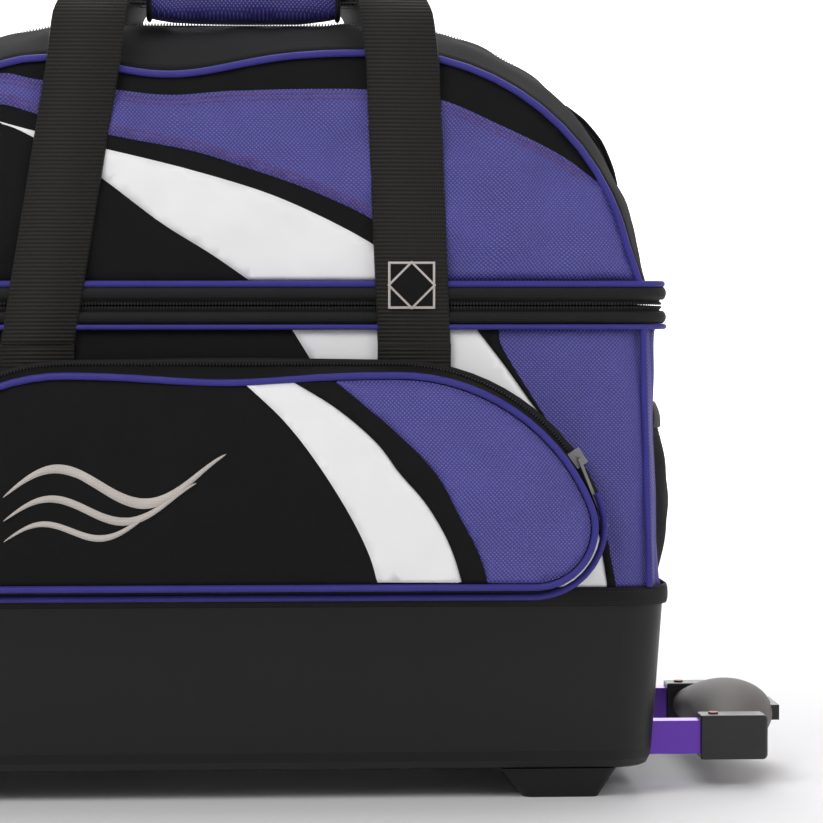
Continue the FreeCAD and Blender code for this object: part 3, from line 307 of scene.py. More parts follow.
def drawn_metal(name, base, roughness):
    """Extruded and brushed metal: hair lines along its length."""
    made, tree, bsdf = shader(name, base, roughness, Metallic=1.0)
    place = coordinates(tree)
    drawn = node(tree, "ShaderNodeMapping", {"Scale": (0.02, 1.6, 1.6)}, {"Vector": place})
    lines = blotches(tree, drawn.outputs[0], 1.0)
    vary_roughness(tree, bsdf, lines, roughness - 0.05, roughness + 0.09)
    raise_by(tree, bsdf, lines, 0.03, 0.4)
    return made


FINISH = {}


def make_finishes(cloth, trim):
    """Every material of the bag, by the work it does."""
    ground = tuple(cloth.mesh_colour) + (1,)
    FINISH["violet_dobby"] = dobby_cloth("Coated violet dobby cloth", "1f1a5c", "6560c6",
                                         cloth.diamond, 0.42)
    ramp = next(n for n in FINISH["violet_dobby"].node_tree.nodes if n.type == "VALTORGB")
    ramp.color_ramp.elements[0].color = ground
    FINISH["violet_wrap"] = dobby_cloth("Coated violet dobby cloth, rolled", "1f1a5c", "6560c6",
                                        cloth.diamond, 0.42, rolled=True)
    FINISH["violet_plain"] = plain_cloth("Lavender lining cloth", "332e78", "4a4596", 1.3, 0.6)
    FINISH["violet_piping"] = plain_cloth("Violet covered cord", "2f2a78", "443f98", 1.1, 0.5)
    FINISH["black_twill"] = plain_cloth("Black polyester twill", "080809", "151517", 1.3, 0.85, 0.0)
    FINISH["black_tape"] = plain_cloth("Black binding tape", "0c0c0d", "202022", 1.8, 0.62)
    FINISH["black_mesh"] = dobby_cloth("Black knitted mesh", "050505", "121214", 3.2, 0.75,
                                       sheen=0.02, gloss=0.2)
    FINISH["white_vinyl"] = moulded("Calendered white vinyl", "f0f0f0", "fafafa", 0.4, 1.2, 0.06,
                                    Coat_Weight=0.15, Coat_Roughness=0.35)
    FINISH["webbing"] = ribbed_webbing("Ribbed black webbing", "090908", "262420", trim.rib_pitch)
    FINISH["tub"] = moulded("Blow-moulded black polypropylene", "0c0c0d", "111112", 0.42, 0.7, 0.05,
                             Specular_IOR_Level=0.35)
    FINISH["zip"] = moulded("Black nylon coil", "131314", "2b2b2e", 0.4, 0.8, 0.03)
    FINISH["grip"] = moulded("Soft-touch grey-brown rubber", "4b4340", "5d5552", 0.62, 0.8, 0.08,
                             Sheen_Weight=0.1)
    FINISH["tread"] = moulded("Cast polyurethane tread", "151516", "1f1f20", 0.6, 1.0, 0.08)
    FINISH["nylon"] = moulded("Moulded black nylon", "161617", "222224", 0.38, 0.9, 0.04)
    FINISH["pad"] = moulded("Matt black rubber", "0e0e0e", "191919", 0.8, 1.0, 0.1)
    FINISH["foam"] = plain_cloth("Brushed charcoal lining over foam", "151517", "2b2b2f", 1.6, 0.9,
                                 0.3)
    FINISH["board"] = plain_cloth("Cloth-faced hardboard", "121213", "242427", 1.5, 0.8)
    FINISH["violet_metal"] = drawn_metal("Violet anodised aluminium", "6d47b0", 0.3)
    FINISH["mill_metal"] = drawn_metal("Mill-finish aluminium", "a8a9ac", 0.36)
    FINISH["steel"] = drawn_metal("Bright bearing steel", "b7b8ba", 0.24)
    FINISH["zip_metal"] = drawn_metal("Satin die-cast zinc", "9a9a9c", 0.3)
    FINISH["copper"] = moulded("Dull copper rivet", "7a3b2c", "8c4a38", 0.4, 1.0, 0.04, Metallic=1.0)
    FINISH["silver_thread"] = plain_cloth("Silver-beige rayon thread", "a89f98", "ded6cf", 1.0, 0.38,
                                          0.4)
    FINISH["red_thread"] = plain_cloth("Dull red polyester thread", "6b3450", "8c4a66", 1.0, 0.6)
    FINISH["black_thread"] = plain_cloth("Black polyester thread", "1c1c1e", "333336", 1.0, 0.6)


# ------------------------------------------------------------------ mesh helpers

def new_object(name, verts, faces, material, uvs=None, smooth=True):
    """A mesh object at the origin, from points in the frame's metres."""
    mesh = bpy.data.meshes.new(name)
    mesh.from_pydata([tuple(v) for v in verts], [], faces)
    mesh.validate()
    if uvs is not None:
        layer = mesh.uv_layers.new(name="UVMap")
        for loop in mesh.loops:
            layer.data[loop.index].uv = uvs[loop.vertex_index]
    for poly in mesh.polygons:
        poly.use_smooth = smooth
    obj = bpy.data.objects.new(name, mesh)
    bpy.context.scene.collection.objects.link(obj)
    if material is not None:
        mesh.materials.append(FINISH[material])
    return obj


def settle(obj, body, slot, *replaced):
    """Ride on a body and stand for CAD nodes; the slot argument is not used."""
    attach(obj, body)
    if replaced:
        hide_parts(*replaced)
    return obj


def applied(obj):
    """The object with its modifiers made into plain mesh, one mesh in place of the old."""
    depsgraph = bpy.context.evaluated_depsgraph_get()
    mesh = bpy.data.meshes.new_from_object(obj.evaluated_get(depsgraph))
    obj.modifiers.clear()
    obj.data = mesh
    return obj


def thickened(obj, thickness, offset=0):
    """A sheet given this thickness in millimetres, as plain mesh."""
    solid = obj.modifiers.new("Cloth", "SOLIDIFY")
    solid.thickness = thickness * MM
    solid.offset = offset
    return applied(obj)


def outward(mesh):
    """Turn the faces of a closed mesh outwards."""
    work = bmesh.new()
    work.from_mesh(mesh)
    bmesh.ops.remove_doubles(work, verts=work.verts, dist=1e-6)
    bmesh.ops.recalc_face_normals(work, faces=work.faces)
    work.to_mesh(mesh)
    work.free()


def grid_faces(rows, columns, closed=False, first=0):
    """Quads over rows of points; closed joins the last column to the first."""
    faces = []
    for r in range(rows - 1):
        for c in range(columns if closed else columns - 1):
            d = (c + 1) % columns
            faces.append((first + r * columns + c, first + r * columns + d,
                          first + (r + 1) * columns + d, first + (r + 1) * columns + c))
    return faces


def resampled(points, step, closed=False, count=None):
    """Points at an even spacing, or this many, along a line of (x, z) or (x, y, z) points."""
    line = [Vector(p) for p in points]
    if closed:
        line.append(line[0])
    lengths = [0.0]
    for a, b in zip(line, line[1:]):
        lengths.append(lengths[-1] + (b - a).length)
    count = count or max(2, round(lengths[-1] / step))
    out = []
    k = 0
    for i in range(count if closed else count + 1):
        want = lengths[-1] * i / count
        while k < len(line) - 2 and lengths[k + 1] < want:
            k += 1
        span = lengths[k + 1] - lengths[k] or 1
        out.append(line[k].lerp(line[k + 1], min(1, (want - lengths[k]) / span)))
    return out


def smooth_line(points, step=2.0):
    """A Catmull-Rom line through design points."""
    pts = [Vector(p) for p in points]
    pts = [pts[0] * 2 - pts[1]] + pts + [pts[-1] * 2 - pts[-2]]
    out = []
    for a, b, c, d in zip(pts, pts[1:], pts[2:], pts[3:]):
        count = max(2, int((c - b).length / step))
        for i in range(count):
            t = i / count
            out.append(0.5 * ((2 * b) + (c - a) * t + (2 * a - 5 * b + 4 * c - d) * t ** 2
                              + (3 * b - a - 3 * c + d) * t ** 3))
    out.append(pts[-2])
    return out


def rounded_ring(half_x, half_y, radius, step=4.0, count=None):
    """A level rounded rectangle as (x, y, normal) with even spacing."""
    out = []
    for sx, sy, start in ((1, 1, 0), (-1, 1, 90), (-1, -1, 180), (1, -1, 270)):
        for i in range(9):
            turn = math.radians(start + i * 90 / 8)
            out.append((sx * (half_x - radius) + radius * math.cos(turn),
                        sy * (half_y - radius) + radius * math.sin(turn)))
    ring = resampled(out, step, closed=True, count=count)
    result = []
    for i, p in enumerate(ring):
        ahead = ring[(i + 1) % len(ring)] - ring[i - 1]
        normal = Vector((ahead.y, -ahead.x)).normalized()
        result.append((p.x, p.y, normal))
    return result


def ring_sweep(name, half, radius, profile, material, ripple=0.0, step=3.0, sag=None):
    """A closed profile of (out, height) points carried round a rounded rectangle."""
    ring = rounded_ring(half[0], half[1], radius, step)
    verts = []
    for i, (x, y, n) in enumerate(ring):
        drop = sag(x, y) if sag else 0
        wave = ripple * noise.noise(Vector((x * 0.03, y * 0.03, 2.7)))
        for out, z in profile:
            verts.append(at(x + n.x * (out + wave), y + n.y * (out + wave), z + drop))
    count = len(ring)
    size = len(profile)
    faces = []
    for i in range(count):
        j = (i + 1) % count
        for k in range(size):
            m = (k + 1) % size
            faces.append((i * size + k, j * size + k, j * size + m, i * size + m))
    obj = new_object(name, verts, faces, material)
    outward(obj.data)
    return obj


def round_profile(radius, out, z, count=10):
    return [(out + radius * math.cos(math.tau * i / count), z + radius * math.sin(math.tau * i / count))
            for i in range(count)]


def pillow_profile(low, high, inner, outer, swell, count=8):
    """A band's section: flat inside, swelling outside between its two edges."""
    points = [(inner, low), (inner, high)]
    for i in range(count + 1):
        share = i / count
        points.append((outer + swell * math.sin(math.pi * share) ** 0.7, high + (low - high) * share))
    return points


def tube(name, points, radius, material, closed=False, sides=10):
    """A round cord along points given in bag millimetres."""
    curve = bpy.data.curves.new(name, "CURVE")
    curve.dimensions = "3D"
    curve.bevel_depth = radius * MM
    curve.bevel_resolution = max(1, sides // 4)
    curve.use_fill_caps = not closed
    spline = curve.splines.new("POLY")
    spline.points.add(len(points) - 1)
    for target, p in zip(spline.points, points):
        target.co = (*at(*p), 1)
    spline.use_cyclic_u = closed
    holder = bpy.data.objects.new(name + "_path", curve)
    bpy.context.scene.collection.objects.link(holder)
    mesh = bpy.data.meshes.new_from_object(
        holder.evaluated_get(bpy.context.evaluated_depsgraph_get()))
    bpy.data.objects.remove(holder)
    bpy.data.curves.remove(curve)
    mesh.name = name
    for poly in mesh.polygons:
        poly.use_smooth = True
    obj = bpy.data.objects.new(name, mesh)
    bpy.context.scene.collection.objects.link(obj)
    mesh.materials.clear()
    mesh.materials.append(FINISH[material])
    return obj


def joined(name, objs):
    """Several objects' meshes as one piece, each keeping its materials."""
    materials = []
    work = bmesh.new()
    for obj in objs:
        start = len(work.faces)
        work.from_mesh(obj.data)
        work.faces.ensure_lookup_table()
        slots = list(obj.data.materials)
        for face in work.faces[start:]:
            material = slots[face.material_index]
            if material not in materials:
                materials.append(material)
            face.material_index = materials.index(material)
    mesh = bpy.data.meshes.new(name)
    work.to_mesh(mesh)
    work.free()
    for material in materials:
        mesh.materials.append(material)
    for obj in objs:
        bpy.data.objects.remove(obj)
    made = bpy.data.objects.new(name, mesh)
    bpy.context.scene.collection.objects.link(made)
    return made


def repeat_tree(name, material):
    """Geometry Nodes: a small block at every step along a line, turned to follow it."""
    tree = bpy.data.node_groups.new(name, "GeometryNodeTree")
    face = tree.interface
    face.new_socket("Geometry", in_out="INPUT", socket_type="NodeSocketGeometry")
    for label in ("Spacing", "Along", "Across", "Height"):
        face.new_socket(label, in_out="INPUT", socket_type="NodeSocketFloat")
    face.new_socket("Geometry", in_out="OUTPUT", socket_type="NodeSocketGeometry")
    entry = node(tree, "NodeGroupInput")
    curve = node(tree, "GeometryNodeMeshToCurve", None, {0: entry.outputs["Geometry"]})
    points = node(tree, "GeometryNodeCurveToPoints", {"mode": "LENGTH"},
                  {"Curve": curve.outputs[0], "Length": entry.outputs["Spacing"]})
    size = node(tree, "ShaderNodeCombineXYZ", None,
                {"X": entry.outputs["Height"], "Y": entry.outputs["Across"],
                 "Z": entry.outputs["Along"]})
    block = node(tree, "GeometryNodeMeshIcoSphere", {"Radius": 0.5, "Subdivisions": 1})
    placed = node(tree, "GeometryNodeInstanceOnPoints", None,
                  {"Points": points.outputs["Points"], "Instance": block.outputs[0],
                   "Rotation": points.outputs["Rotation"], "Scale": size.outputs[0]})
    real = node(tree, "GeometryNodeRealizeInstances", None, {0: placed.outputs[0]})
    coloured = node(tree, "GeometryNodeSetMaterial", {"Material": FINISH[material]},
                    {"Geometry": real.outputs[0]})
    node(tree, "NodeGroupOutput", None, {0: coloured.outputs[0]})
    return tree


def repeated(name, lines, material, spacing, along, across, height):
    """Teeth or stitches along lines given in bag millimetres."""
    verts = []
    edges = []
    for line in lines:
        first = len(verts)
        verts += [tuple(at(*p)) for p in line]
        edges += [(first + i, first + i + 1) for i in range(len(line) - 1)]
    mesh = bpy.data.meshes.new(name)
    mesh.from_pydata(verts, edges, [])
    obj = bpy.data.objects.new(name, mesh)
    bpy.context.scene.collection.objects.link(obj)
    tree = repeat_tree(name, material)
    modifier = obj.modifiers.new("Repeat", "NODES")
    modifier.node_group = tree
    values = {"Spacing": spacing, "Along": along, "Across": across, "Height": height}
    for item in tree.interface.items_tree:
        if item.in_out == "INPUT" and item.name in values:
            modifier[item.identifier] = values[item.name] * MM
    applied(obj)
    if not obj.data.polygons:
        raise RuntimeError(f"{name} came out empty")
    if not obj.data.materials:
        obj.data.materials.append(FINISH[material])
    return obj


def sewn_panel(name, outline, skin, material, cell=7.0, lift=0.0, thick=0.8):
    """A cut piece of cloth lying on a skin: outline is (x, z), skin gives y outward from it."""
    border = resampled(outline, cell * 0.6, closed=True)
    xs = [p.x for p in border]
    zs = [p.y for p in border]
    points = [Vector((p.x, p.y)) for p in border]
    loop = list(range(len(points)))

    def inside(x, z):
        odd = False
        for a, b in zip(border, border[1:] + border[:1]):
            if (a.y > z) != (b.y > z) and x < (b.x - a.x) * (z - a.y) / (b.y - a.y) + a.x:
                odd = not odd
        return odd

    x = min(xs) + cell / 2
    while x < max(xs):
        z = min(zs) + cell / 2
        while z < max(zs):
            if inside(x, z) and min((Vector((x, z)) - p).length for p in border) > cell * 0.45:
                points.append(Vector((x, z)))
            z += cell
        x += cell
    coords, _, faces, *_ = delaunay_2d_cdt(points, [], [loop], 1, 1e-4)
    verts = [at(p.x, -(skin(p.x, p.y) + lift), p.y) for p in coords]
    obj = new_object(name, verts, faces, material)
    for poly in obj.data.polygons:
        if poly.normal.y > 0:
            poly.flip()
    return thickened(obj, thick, -1)


def clamped(value):
    return max(0.0, min(1.0, value))


def softened(name, label, voxel, passes, material):
    """A copy of a CAD node with its edges rounded over; the voxel is in millimetres."""
    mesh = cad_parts[name].data.copy()
    obj = bpy.data.objects.new(label, mesh)
    bpy.context.scene.collection.objects.link(obj)
    outward(mesh)
    remesh = obj.modifiers.new("Remesh", "REMESH")
    remesh.mode = "VOXEL"
    remesh.voxel_size = voxel * MM
    soften = obj.modifiers.new("Soften", "SMOOTH")
    soften.iterations = passes
    applied(obj)
    for poly in obj.data.polygons:
        poly.use_smooth = True
    obj.data.materials.clear()
    obj.data.materials.append(FINISH[material])
    return obj


def crease(x, y, z, scale, depth, seed=4.0):
    """A slow crease in cloth, in millimetres."""
    return depth * noise.noise(Vector((x / scale, y / scale, z / scale + seed)))


def wall_fold(x, y, z):
    """The wall's slow creases, and the pucker where the zip is sewn to its top edge."""
    phase = (x + y) / 5.5 + 3 * noise.noise(Vector((x / 40, y / 40, 1)))
    return crease(x, y, z, 34, 1.6) + 1.1 * math.exp(-(WALL_TOP - z) / 22) * math.sin(phase)


# ------------------------------------------------------------------ the bag's own lines

def lid_line(shape, step=4.0, low=LID_SHELL, grow=0.0):
    """The lid's arch as (x, z), from the handle end's foot to the wheel end's foot."""
    radius, top, half = shape
    centre = WALL_TOP + top - radius
    right = [Vector((half + grow, low))]
    for i in range(13):
        turn = math.radians(SIDE_ANGLE + (90 - SIDE_ANGLE) * i / 12)
        right.append(Vector((LID_FLAT + (radius + grow) * math.cos(turn),
                             centre + (radius + grow) * math.sin(turn))))
    left = [Vector((-p.x, p.y)) for p in reversed(right)]
    return resampled(right + left, step)


def lid_dip(x):
    """How far the lid's front edge hangs between the shoulders."""
    return 15 * math.exp(-((x + 43) / 62) ** 2)


def lid_front_line(step=4.0, grow=0.0):
    """The lid's front edge, sagging in the middle."""
    out = []
    for p in lid_line(FACE_SHAPE, step, grow=grow):
        high = clamped((p.y - 480) / 40)
        out.append(Vector((p.x, p.y - lid_dip(p.x) * high)))
    return out


def edge_distance(line):
    """A function that gives the distance from a point to a line of (x, z) points."""
    points = [Vector(p) for p in line]

    def measure(x, z):
        return min((Vector((x, z)) - p).length for p in points)
    return measure


def pocket_line(grow=0.0, step=4.0):
    """The pocket's closed outline as (x, z)."""
    turn = math.radians(POCKET_TURN)
    small_x = POCKET_CENTRE[0] + (POCKET_RADIUS - POCKET_CORNER) * math.cos(turn)
    small_z = POCKET_CENTRE[1] + (POCKET_RADIUS - POCKET_CORNER) * math.sin(turn)
    right = []
    for i in range(15):
        a = math.pi / 2 + (turn - math.pi / 2) * i / 14
        right.append(Vector((POCKET_CENTRE[0] + (POCKET_RADIUS + grow) * math.cos(a),
                             POCKET_CENTRE[1] + (POCKET_RADIUS + grow) * math.sin(a))))
    low = -math.pi / 2 + math.radians(3)
    for i in range(1, 11):
        a = turn + (low - turn) * i / 10
        right.append(Vector((small_x + (POCKET_CORNER + grow) * math.cos(a),
                             small_z + (POCKET_CORNER + grow) * math.sin(a))))
    left = [Vector((-p.x, p.y)) for p in reversed(right)]
    return resampled(right + left, step, closed=True)


def pocket_dip(x, z):
    """The pocket's top edge sags a little near its middle."""
    high = clamped((z - 270) / 30)
    return high * 5 * math.exp(-((x + 5) / 60) ** 2)


# ------------------------------------------------------------------ operators

class ROLLERBAG_OT_finishes(Operator):
    """Make the bag's materials"""
    bl_idname = "rollerbag.finishes"
    bl_label = "Finishes"

    def execute(self, context):
        make_finishes(context.scene.roller_bag_cloth, context.scene.roller_bag_trim)
        return {"FINISHED"}


class ROLLERBAG_OT_hard_parts(Operator):
    """Give the mouldings, metal and wheels their finishes"""
    bl_idname = "rollerbag.hard_parts"
    bl_label = "Mouldings and metal"

    def execute(self, context):
        finishes = {
            "tub": "tub", "wheel_housings": "tub", "feet": "tub", "foot_pads": "pad",
            "guide_collars": "nylon", "guide_tubes": "mill_metal",
            "wheel_tread_front": "tread", "wheel_tread_rear": "tread",
            "wheel_hub_front": "nylon", "wheel_hub_rear": "nylon",
            "wheel_bearings_front": "steel", "wheel_bearings_rear": "steel",
            "wheel_axles": "steel", "pull_tube_front": "violet_metal",
            "pull_tube_rear": "violet_metal", "grip_core": "nylon", "grip_cover": "grip",
            "socket_rivets": "copper", "release_button": "nylon", "base_board": "board",
            "lid_floor": "board", "top_slider": "zip_metal", "top_pull": "zip_metal",
            "band_slider_front": "zip_metal", "band_slider_rear": "zip_metal",
            "band_pull_front": "zip_metal", "band_pull_rear": "zip_metal",
            "pocket_slider": "zip_metal", "pocket_pull": "zip_metal",
        }
        for name, finish in finishes.items():
            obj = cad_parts[name]
            obj.data.materials.clear()
            obj.data.materials.append(FINISH[finish])
        return {"FINISHED"}


class ROLLERBAG_OT_body(Operator):
    """Make the ball compartment's padded walls and their coloured panels"""
    bl_idname = "rollerbag.body"
    bl_label = "Ball compartment"

    def execute(self, context):
        puff = context.scene.roller_bag_cloth.puff
        rows, columns = 30, 360
        verts = []
        corner_turns = []
        for r in range(rows):
            share = r / (rows - 1)
            z = WALL_LOW + (WALL_TOP - WALL_LOW) * share
            ring = rounded_ring(TUB_HALF[0] - 4 * share, TUB_HALF[1] - 3 * share, CORNER, 5.0, columns)
            if not corner_turns:
                corner_turns = [(y, n.x) for _, y, n in ring]
            swell = math.sin(math.pi * share) ** 0.6 * puff * 0.7
            for x, y, n in ring:
                facing_end = abs(n.x) ** 3
                out = swell * (1 - facing_end) - 4.5 * facing_end * math.sin(math.pi * share) ** 0.4
                out += wall_fold(x, y, z) * math.sin(math.pi * min(1, share * 1.02)) ** 0.4 - 0.6
                verts.append(at(x + n.x * out, y + n.y * out, z))
        shell = new_object("body_walls", verts, grid_faces(rows, columns, closed=True), "violet_dobby")
        for slot_name in ("black_twill", "violet_plain"):
            shell.data.materials.append(FINISH[slot_name])
        for poly in shell.data.polygons:
            y, turn = corner_turns[poly.index % columns]
            if abs(turn) > 0.72:
                poly.material_index = 2
            elif y > 0:
                poly.material_index = 1
        thickened(shell, 3.4, -1)
        settle(shell, "base", "body_fabric", "front_wall", "back_wall", "end_walls")

        def skin(x, z):
            share = clamped((z - WALL_LOW) / (WALL_TOP - WALL_LOW))
            swell = math.sin(math.pi * share) ** 0.6 * puff * 0.7
            y = -(TUB_HALF[1] - 3 * share)
            fold = wall_fold(x, y, z)
            return -y + swell + fold * math.sin(math.pi * min(1, share * 1.02)) ** 0.4 - 0.4

        stripe = smooth_line([(166, 334), (186, 308), (203, 284), (217, 264), (247, 203), (253, 179),
                              (257, 155)])
        band = smooth_line([(182, 334), (185, 319), (213, 274), (230, 247), (254, 196), (259, 175),
                            (263, 155)])
        white = [(40, 334)] + stripe + [(150, 155)]
        pieces = []
        pieces.append(sewn_panel("white", [Vector(p) for p in white], skin, "white_vinyl", lift=0.3))
        edge = list(stripe) + list(reversed(band))
        pieces.append(sewn_panel("band", edge, skin, "black_twill", 5.0, 0.9))
        middle = [(-268, 334), (42, 334), (152, 155), (-268, 155)]
        pieces.append(sewn_panel("middle", middle, skin, "black_twill", lift=0.2))
        settle(joined("front_wall_panels", pieces), "base", "body_fabric")

        radius = context.scene.roller_bag_trim.piping
        cords = []
        for sx in (1, -1):
            for sy in (1, -1):
                cords.append(tube("corner", [(sx * (286 - 5 * t), sy * (154 - 2 * t),
                                              RIM_HIGH + (WALL_TOP - RIM_HIGH) * t)
                                             for t in (0, 0.25, 0.5, 0.75, 1)], radius,
                                  "violet_piping"))
        cords.append(ring_sweep("ring", BAND_HALF, CORNER,
                                round_profile(radius * 0.8, 0.6, WALL_TOP - 1.6), "violet_piping"))
        settle(joined("wall_piping", cords), "base", "violet_piping", "body_piping")
        return {"FINISHED"}


class ROLLERBAG_OT_rim(Operator):
    """Make the ribbed binding over the tub's rim"""
    bl_idname = "rollerbag.rim"
    bl_label = "Rim binding"

    def execute(self, context):
        rim = ring_sweep("rim_tape", TUB_HALF, CORNER,
                         pillow_profile(RIM_LOW, RIM_HIGH, 0.2, 2.2, 1.0), "black_tape", 0.4)
        settle(rim, "base", "black_binding", "rim_binding")
        lines = []
        for z in (RIM_LOW + 3, RIM_HIGH - 3):
            lines.append([(x + n.x * 3.2, y + n.y * 3.2, z)
                          for x, y, n in rounded_ring(*TUB_HALF, CORNER, 3.0)])
        settle(repeated("rim_stitches", lines, "black_thread", context.scene.roller_bag_trim.stitch_pitch,
                        2.4, 0.7, 0.5), "base", "black_binding")
        return {"FINISHED"}


class ROLLERBAG_OT_zip_band(Operator):
    """Make the zip that runs all round, and its sewn bands"""
    bl_idname = "rollerbag.zip_band"
    bl_label = "Zip all round"

    def execute(self, context):
        trim = context.scene.roller_bag_trim
        ring = rounded_ring(*BAND_HALF, CORNER, 3.0)
        for body, low, high, tape, coil, label in (
                ("base", 336.6, 345.3, 345, 348.4, "lower"), ("lid", 352.8, 362, 349.6, 353.2, "upper")):
            band = ring_sweep("zip_binding_" + label, BAND_HALF, CORNER,
                              pillow_profile(low, high, -7, -0.6, 2.2), "black_tape", 0.9)
            settle(band, body, "black_binding", "zip_band_" + label)
            strip = ring_sweep("zip_tape_" + label, BAND_HALF, CORNER,
                               pillow_profile(tape, coil, -6, -2.6, 0.3), "black_tape")
            settle(strip, body, "zip_coil", "zip_coil_" + label)
            middle = coil - 0.7 if label == "lower" else tape + 0.7
            teeth = [(x + n.x * -1.9, y + n.y * -1.9, middle) for x, y, n in ring]
            settle(repeated("zip_teeth_" + label, [teeth + teeth[:1]], "zip", trim.tooth_pitch, 1.5, 2.4,
                            1.7), body, "zip_coil")
        piping = ring_sweep("lid_foot_piping", BAND_HALF, CORNER,
                            round_profile(trim.piping, -1.5, 363.8), "violet_piping", 0.8)
        settle(piping, "lid", "violet_piping")
        heights = (340, 344, 349, 354, 358)
        verts = []
        for x in range(-280, 281, 20):
            for z in heights:
                verts.append(at(x, BAND_HALF[1] + 2.0, z))
        hinge = new_object("hinge_cloth", verts, grid_faces(29, len(heights)), "black_twill")
        thickened(hinge, 1.0)
        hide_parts("lid_hinge_strip")
        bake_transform(hinge)
        return {"FINISHED"}


class ROLLERBAG_OT_lid(Operator):
    """Make the arched lid: its gusset, faces, coloured panels and piping"""
    bl_idname = "rollerbag.lid"
    bl_label = "Lid"

    def execute(self, context):
        puff = context.scene.roller_bag_cloth.puff
        trim = context.scene.roller_bag_trim
        step = 5.0
        rows = 33
        face = lid_line(FACE_SHAPE, step)
        crown = lid_line(CROWN_SHAPE, step)
        columns = len(face)
        crown = resampled(crown, 1.0)
        verts = []
        for r in range(rows):
            share = -1 + 2 * r / (rows - 1)
            bulge = 1 - share * share
            for c in range(columns):
                f = face[c]
                k = crown[min(len(crown) - 1, round(c / (columns - 1) * (len(crown) - 1)))]
                p = f.lerp(k, bulge)
                high = clamped((p.y - 480) / 40)
                front = max(0.0, -share) ** 1.5
                p = Vector((p.x, p.y - lid_dip(p.x) * high * front))
                fold = crease(p.x, share * 70, p.y, 26, 4.2, 1.5) * bulge * min(1, (p.y - LID_SHELL) / 20)
                fold *= min(1, abs(share) * LID_FACE_Y / 34) ** 2
                away = Vector((math.copysign(1, p.x), 0))
                if p.y > 381:
                    away = Vector((p.x * 0.4, p.y - 380)).normalized()
                p += away * fold
                verts.append(at(p.x, share * LID_FACE_Y, p.y))
        gusset = new_object("lid_shell", verts, grid_faces(rows, columns), "black_twill")
        thickened(gusset, 3.0, -1)
        settle(gusset, "lid", "body_fabric", "lid_gusset")

        line = lid_front_line(5.0)
        outline = [Vector((p.x, p.y)) for p in line]
        distance = edge_distance(resampled(outline + [outline[0]], 4.0))

        def skin(x, z):
            d = distance(x, z)
            swell = puff * (1 - math.exp(-d / 22))
            folds = crease(x, 0, z, 30, 3.4, 7.0) + crease(x, 0, z, 12, 1.0, 2.0)
            return LID_FACE_Y + 0.6 + swell + folds * min(1, d / 18)

        front = sewn_panel("lid_front_ground", outline, skin, "black_twill", 8.0)
        settle(front, "lid", "body_fabric", "lid_face_front")
        back_line = lid_line(FACE_SHAPE, 5.0)
        back = sewn_panel("lid_rear_ground", back_line, lambda x, z: LID_FACE_Y + 0.6 + puff * 0.8
                          * (1 - math.exp(-min((Vector((x, z)) - p).length for p in back_line) / 22)),
                          "black_twill", 9.0)
        back.data.transform(Matrix.Translation((0, 2 * MIDDLE_Y, 0)) @ Matrix.Scale(-1, 4, (0, 1, 0)))
        outward(back.data)
        settle(back, "lid", "body_fabric", "lid_face_rear")

        top = smooth_line([(-270, 380), (-262, 420), (-238, 455), (-200, 492), (-159, 506), (-131, 502),
                           (-83, 496), (-42, 492), (6, 495), (92, 496), (142, 489), (183, 472),
                           (224, 452), (249, 434)])
        bottom = smooth_line([(-262, 372), (-240, 415), (-215, 452), (-190, 476), (-159, 485), (-136, 480),
                              (-89, 466), (-31, 455), (6, 444), (52, 428), (97, 407), (121, 387),
                              (142, 366)])
        edge = [Vector((p.x, p.y)) for p in line if p.x > 246 and p.y < 434][::-1]
        swoosh = list(top) + edge + [Vector((274, 366)), Vector((142, 366))] + list(reversed(bottom))
        white_top = smooth_line([(-158, 474), (-140, 469), (-93, 457), (-31, 442), (33, 422), (97, 390),
                                 (118, 366)])
        white_low = smooth_line([(12, 366), (-14, 384), (-49, 406), (-96, 441), (-140, 466), (-158, 473)])
        white = list(white_top) + list(white_low)
        pieces = [sewn_panel("swoosh", clean(swoosh), skin, "violet_dobby", 7.0, 0.7),
                  sewn_panel("white", clean(white), skin, "white_vinyl", 7.0, 0.7)]
        settle(joined("lid_front_panels", pieces), "lid", "body_fabric")
        lines = []
        for inset in (3, 6.5):
            for path, way in ((top, -1), (bottom, 1)):
                lines.append([(p.x, -(skin(p.x, p.y + way * inset) + 1.0), p.y + way * inset)
                              for p in resampled(path[8:-6], 3.0)])
        settle(repeated("lid_stitches", lines, "red_thread", trim.stitch_pitch, 2.4, 0.8, 0.6), "lid",
               "body_fabric")

        cords = []
        for side in (-1, 1):
            path = lid_front_line(5.0) if side < 0 else lid_line(FACE_SHAPE, 5.0)
            cords.append(tube("cord", [(p.x, side * (LID_FACE_Y + 2.5), p.y) for p in path],
                              trim.piping, "violet_piping"))
        settle(joined("lid_edge_piping", cords), "lid", "violet_piping", "lid_piping")
        return {"FINISHED"}


def clean(line):
    """A closed outline without points that sit on each other."""
    out = []
    for p in line:
        p = Vector((p[0], p[1]))
        if not out or (p - out[-1]).length > 0.8:
            out.append(p)
    if (out[0] - out[-1]).length < 0.8:
        out.pop()
    return out


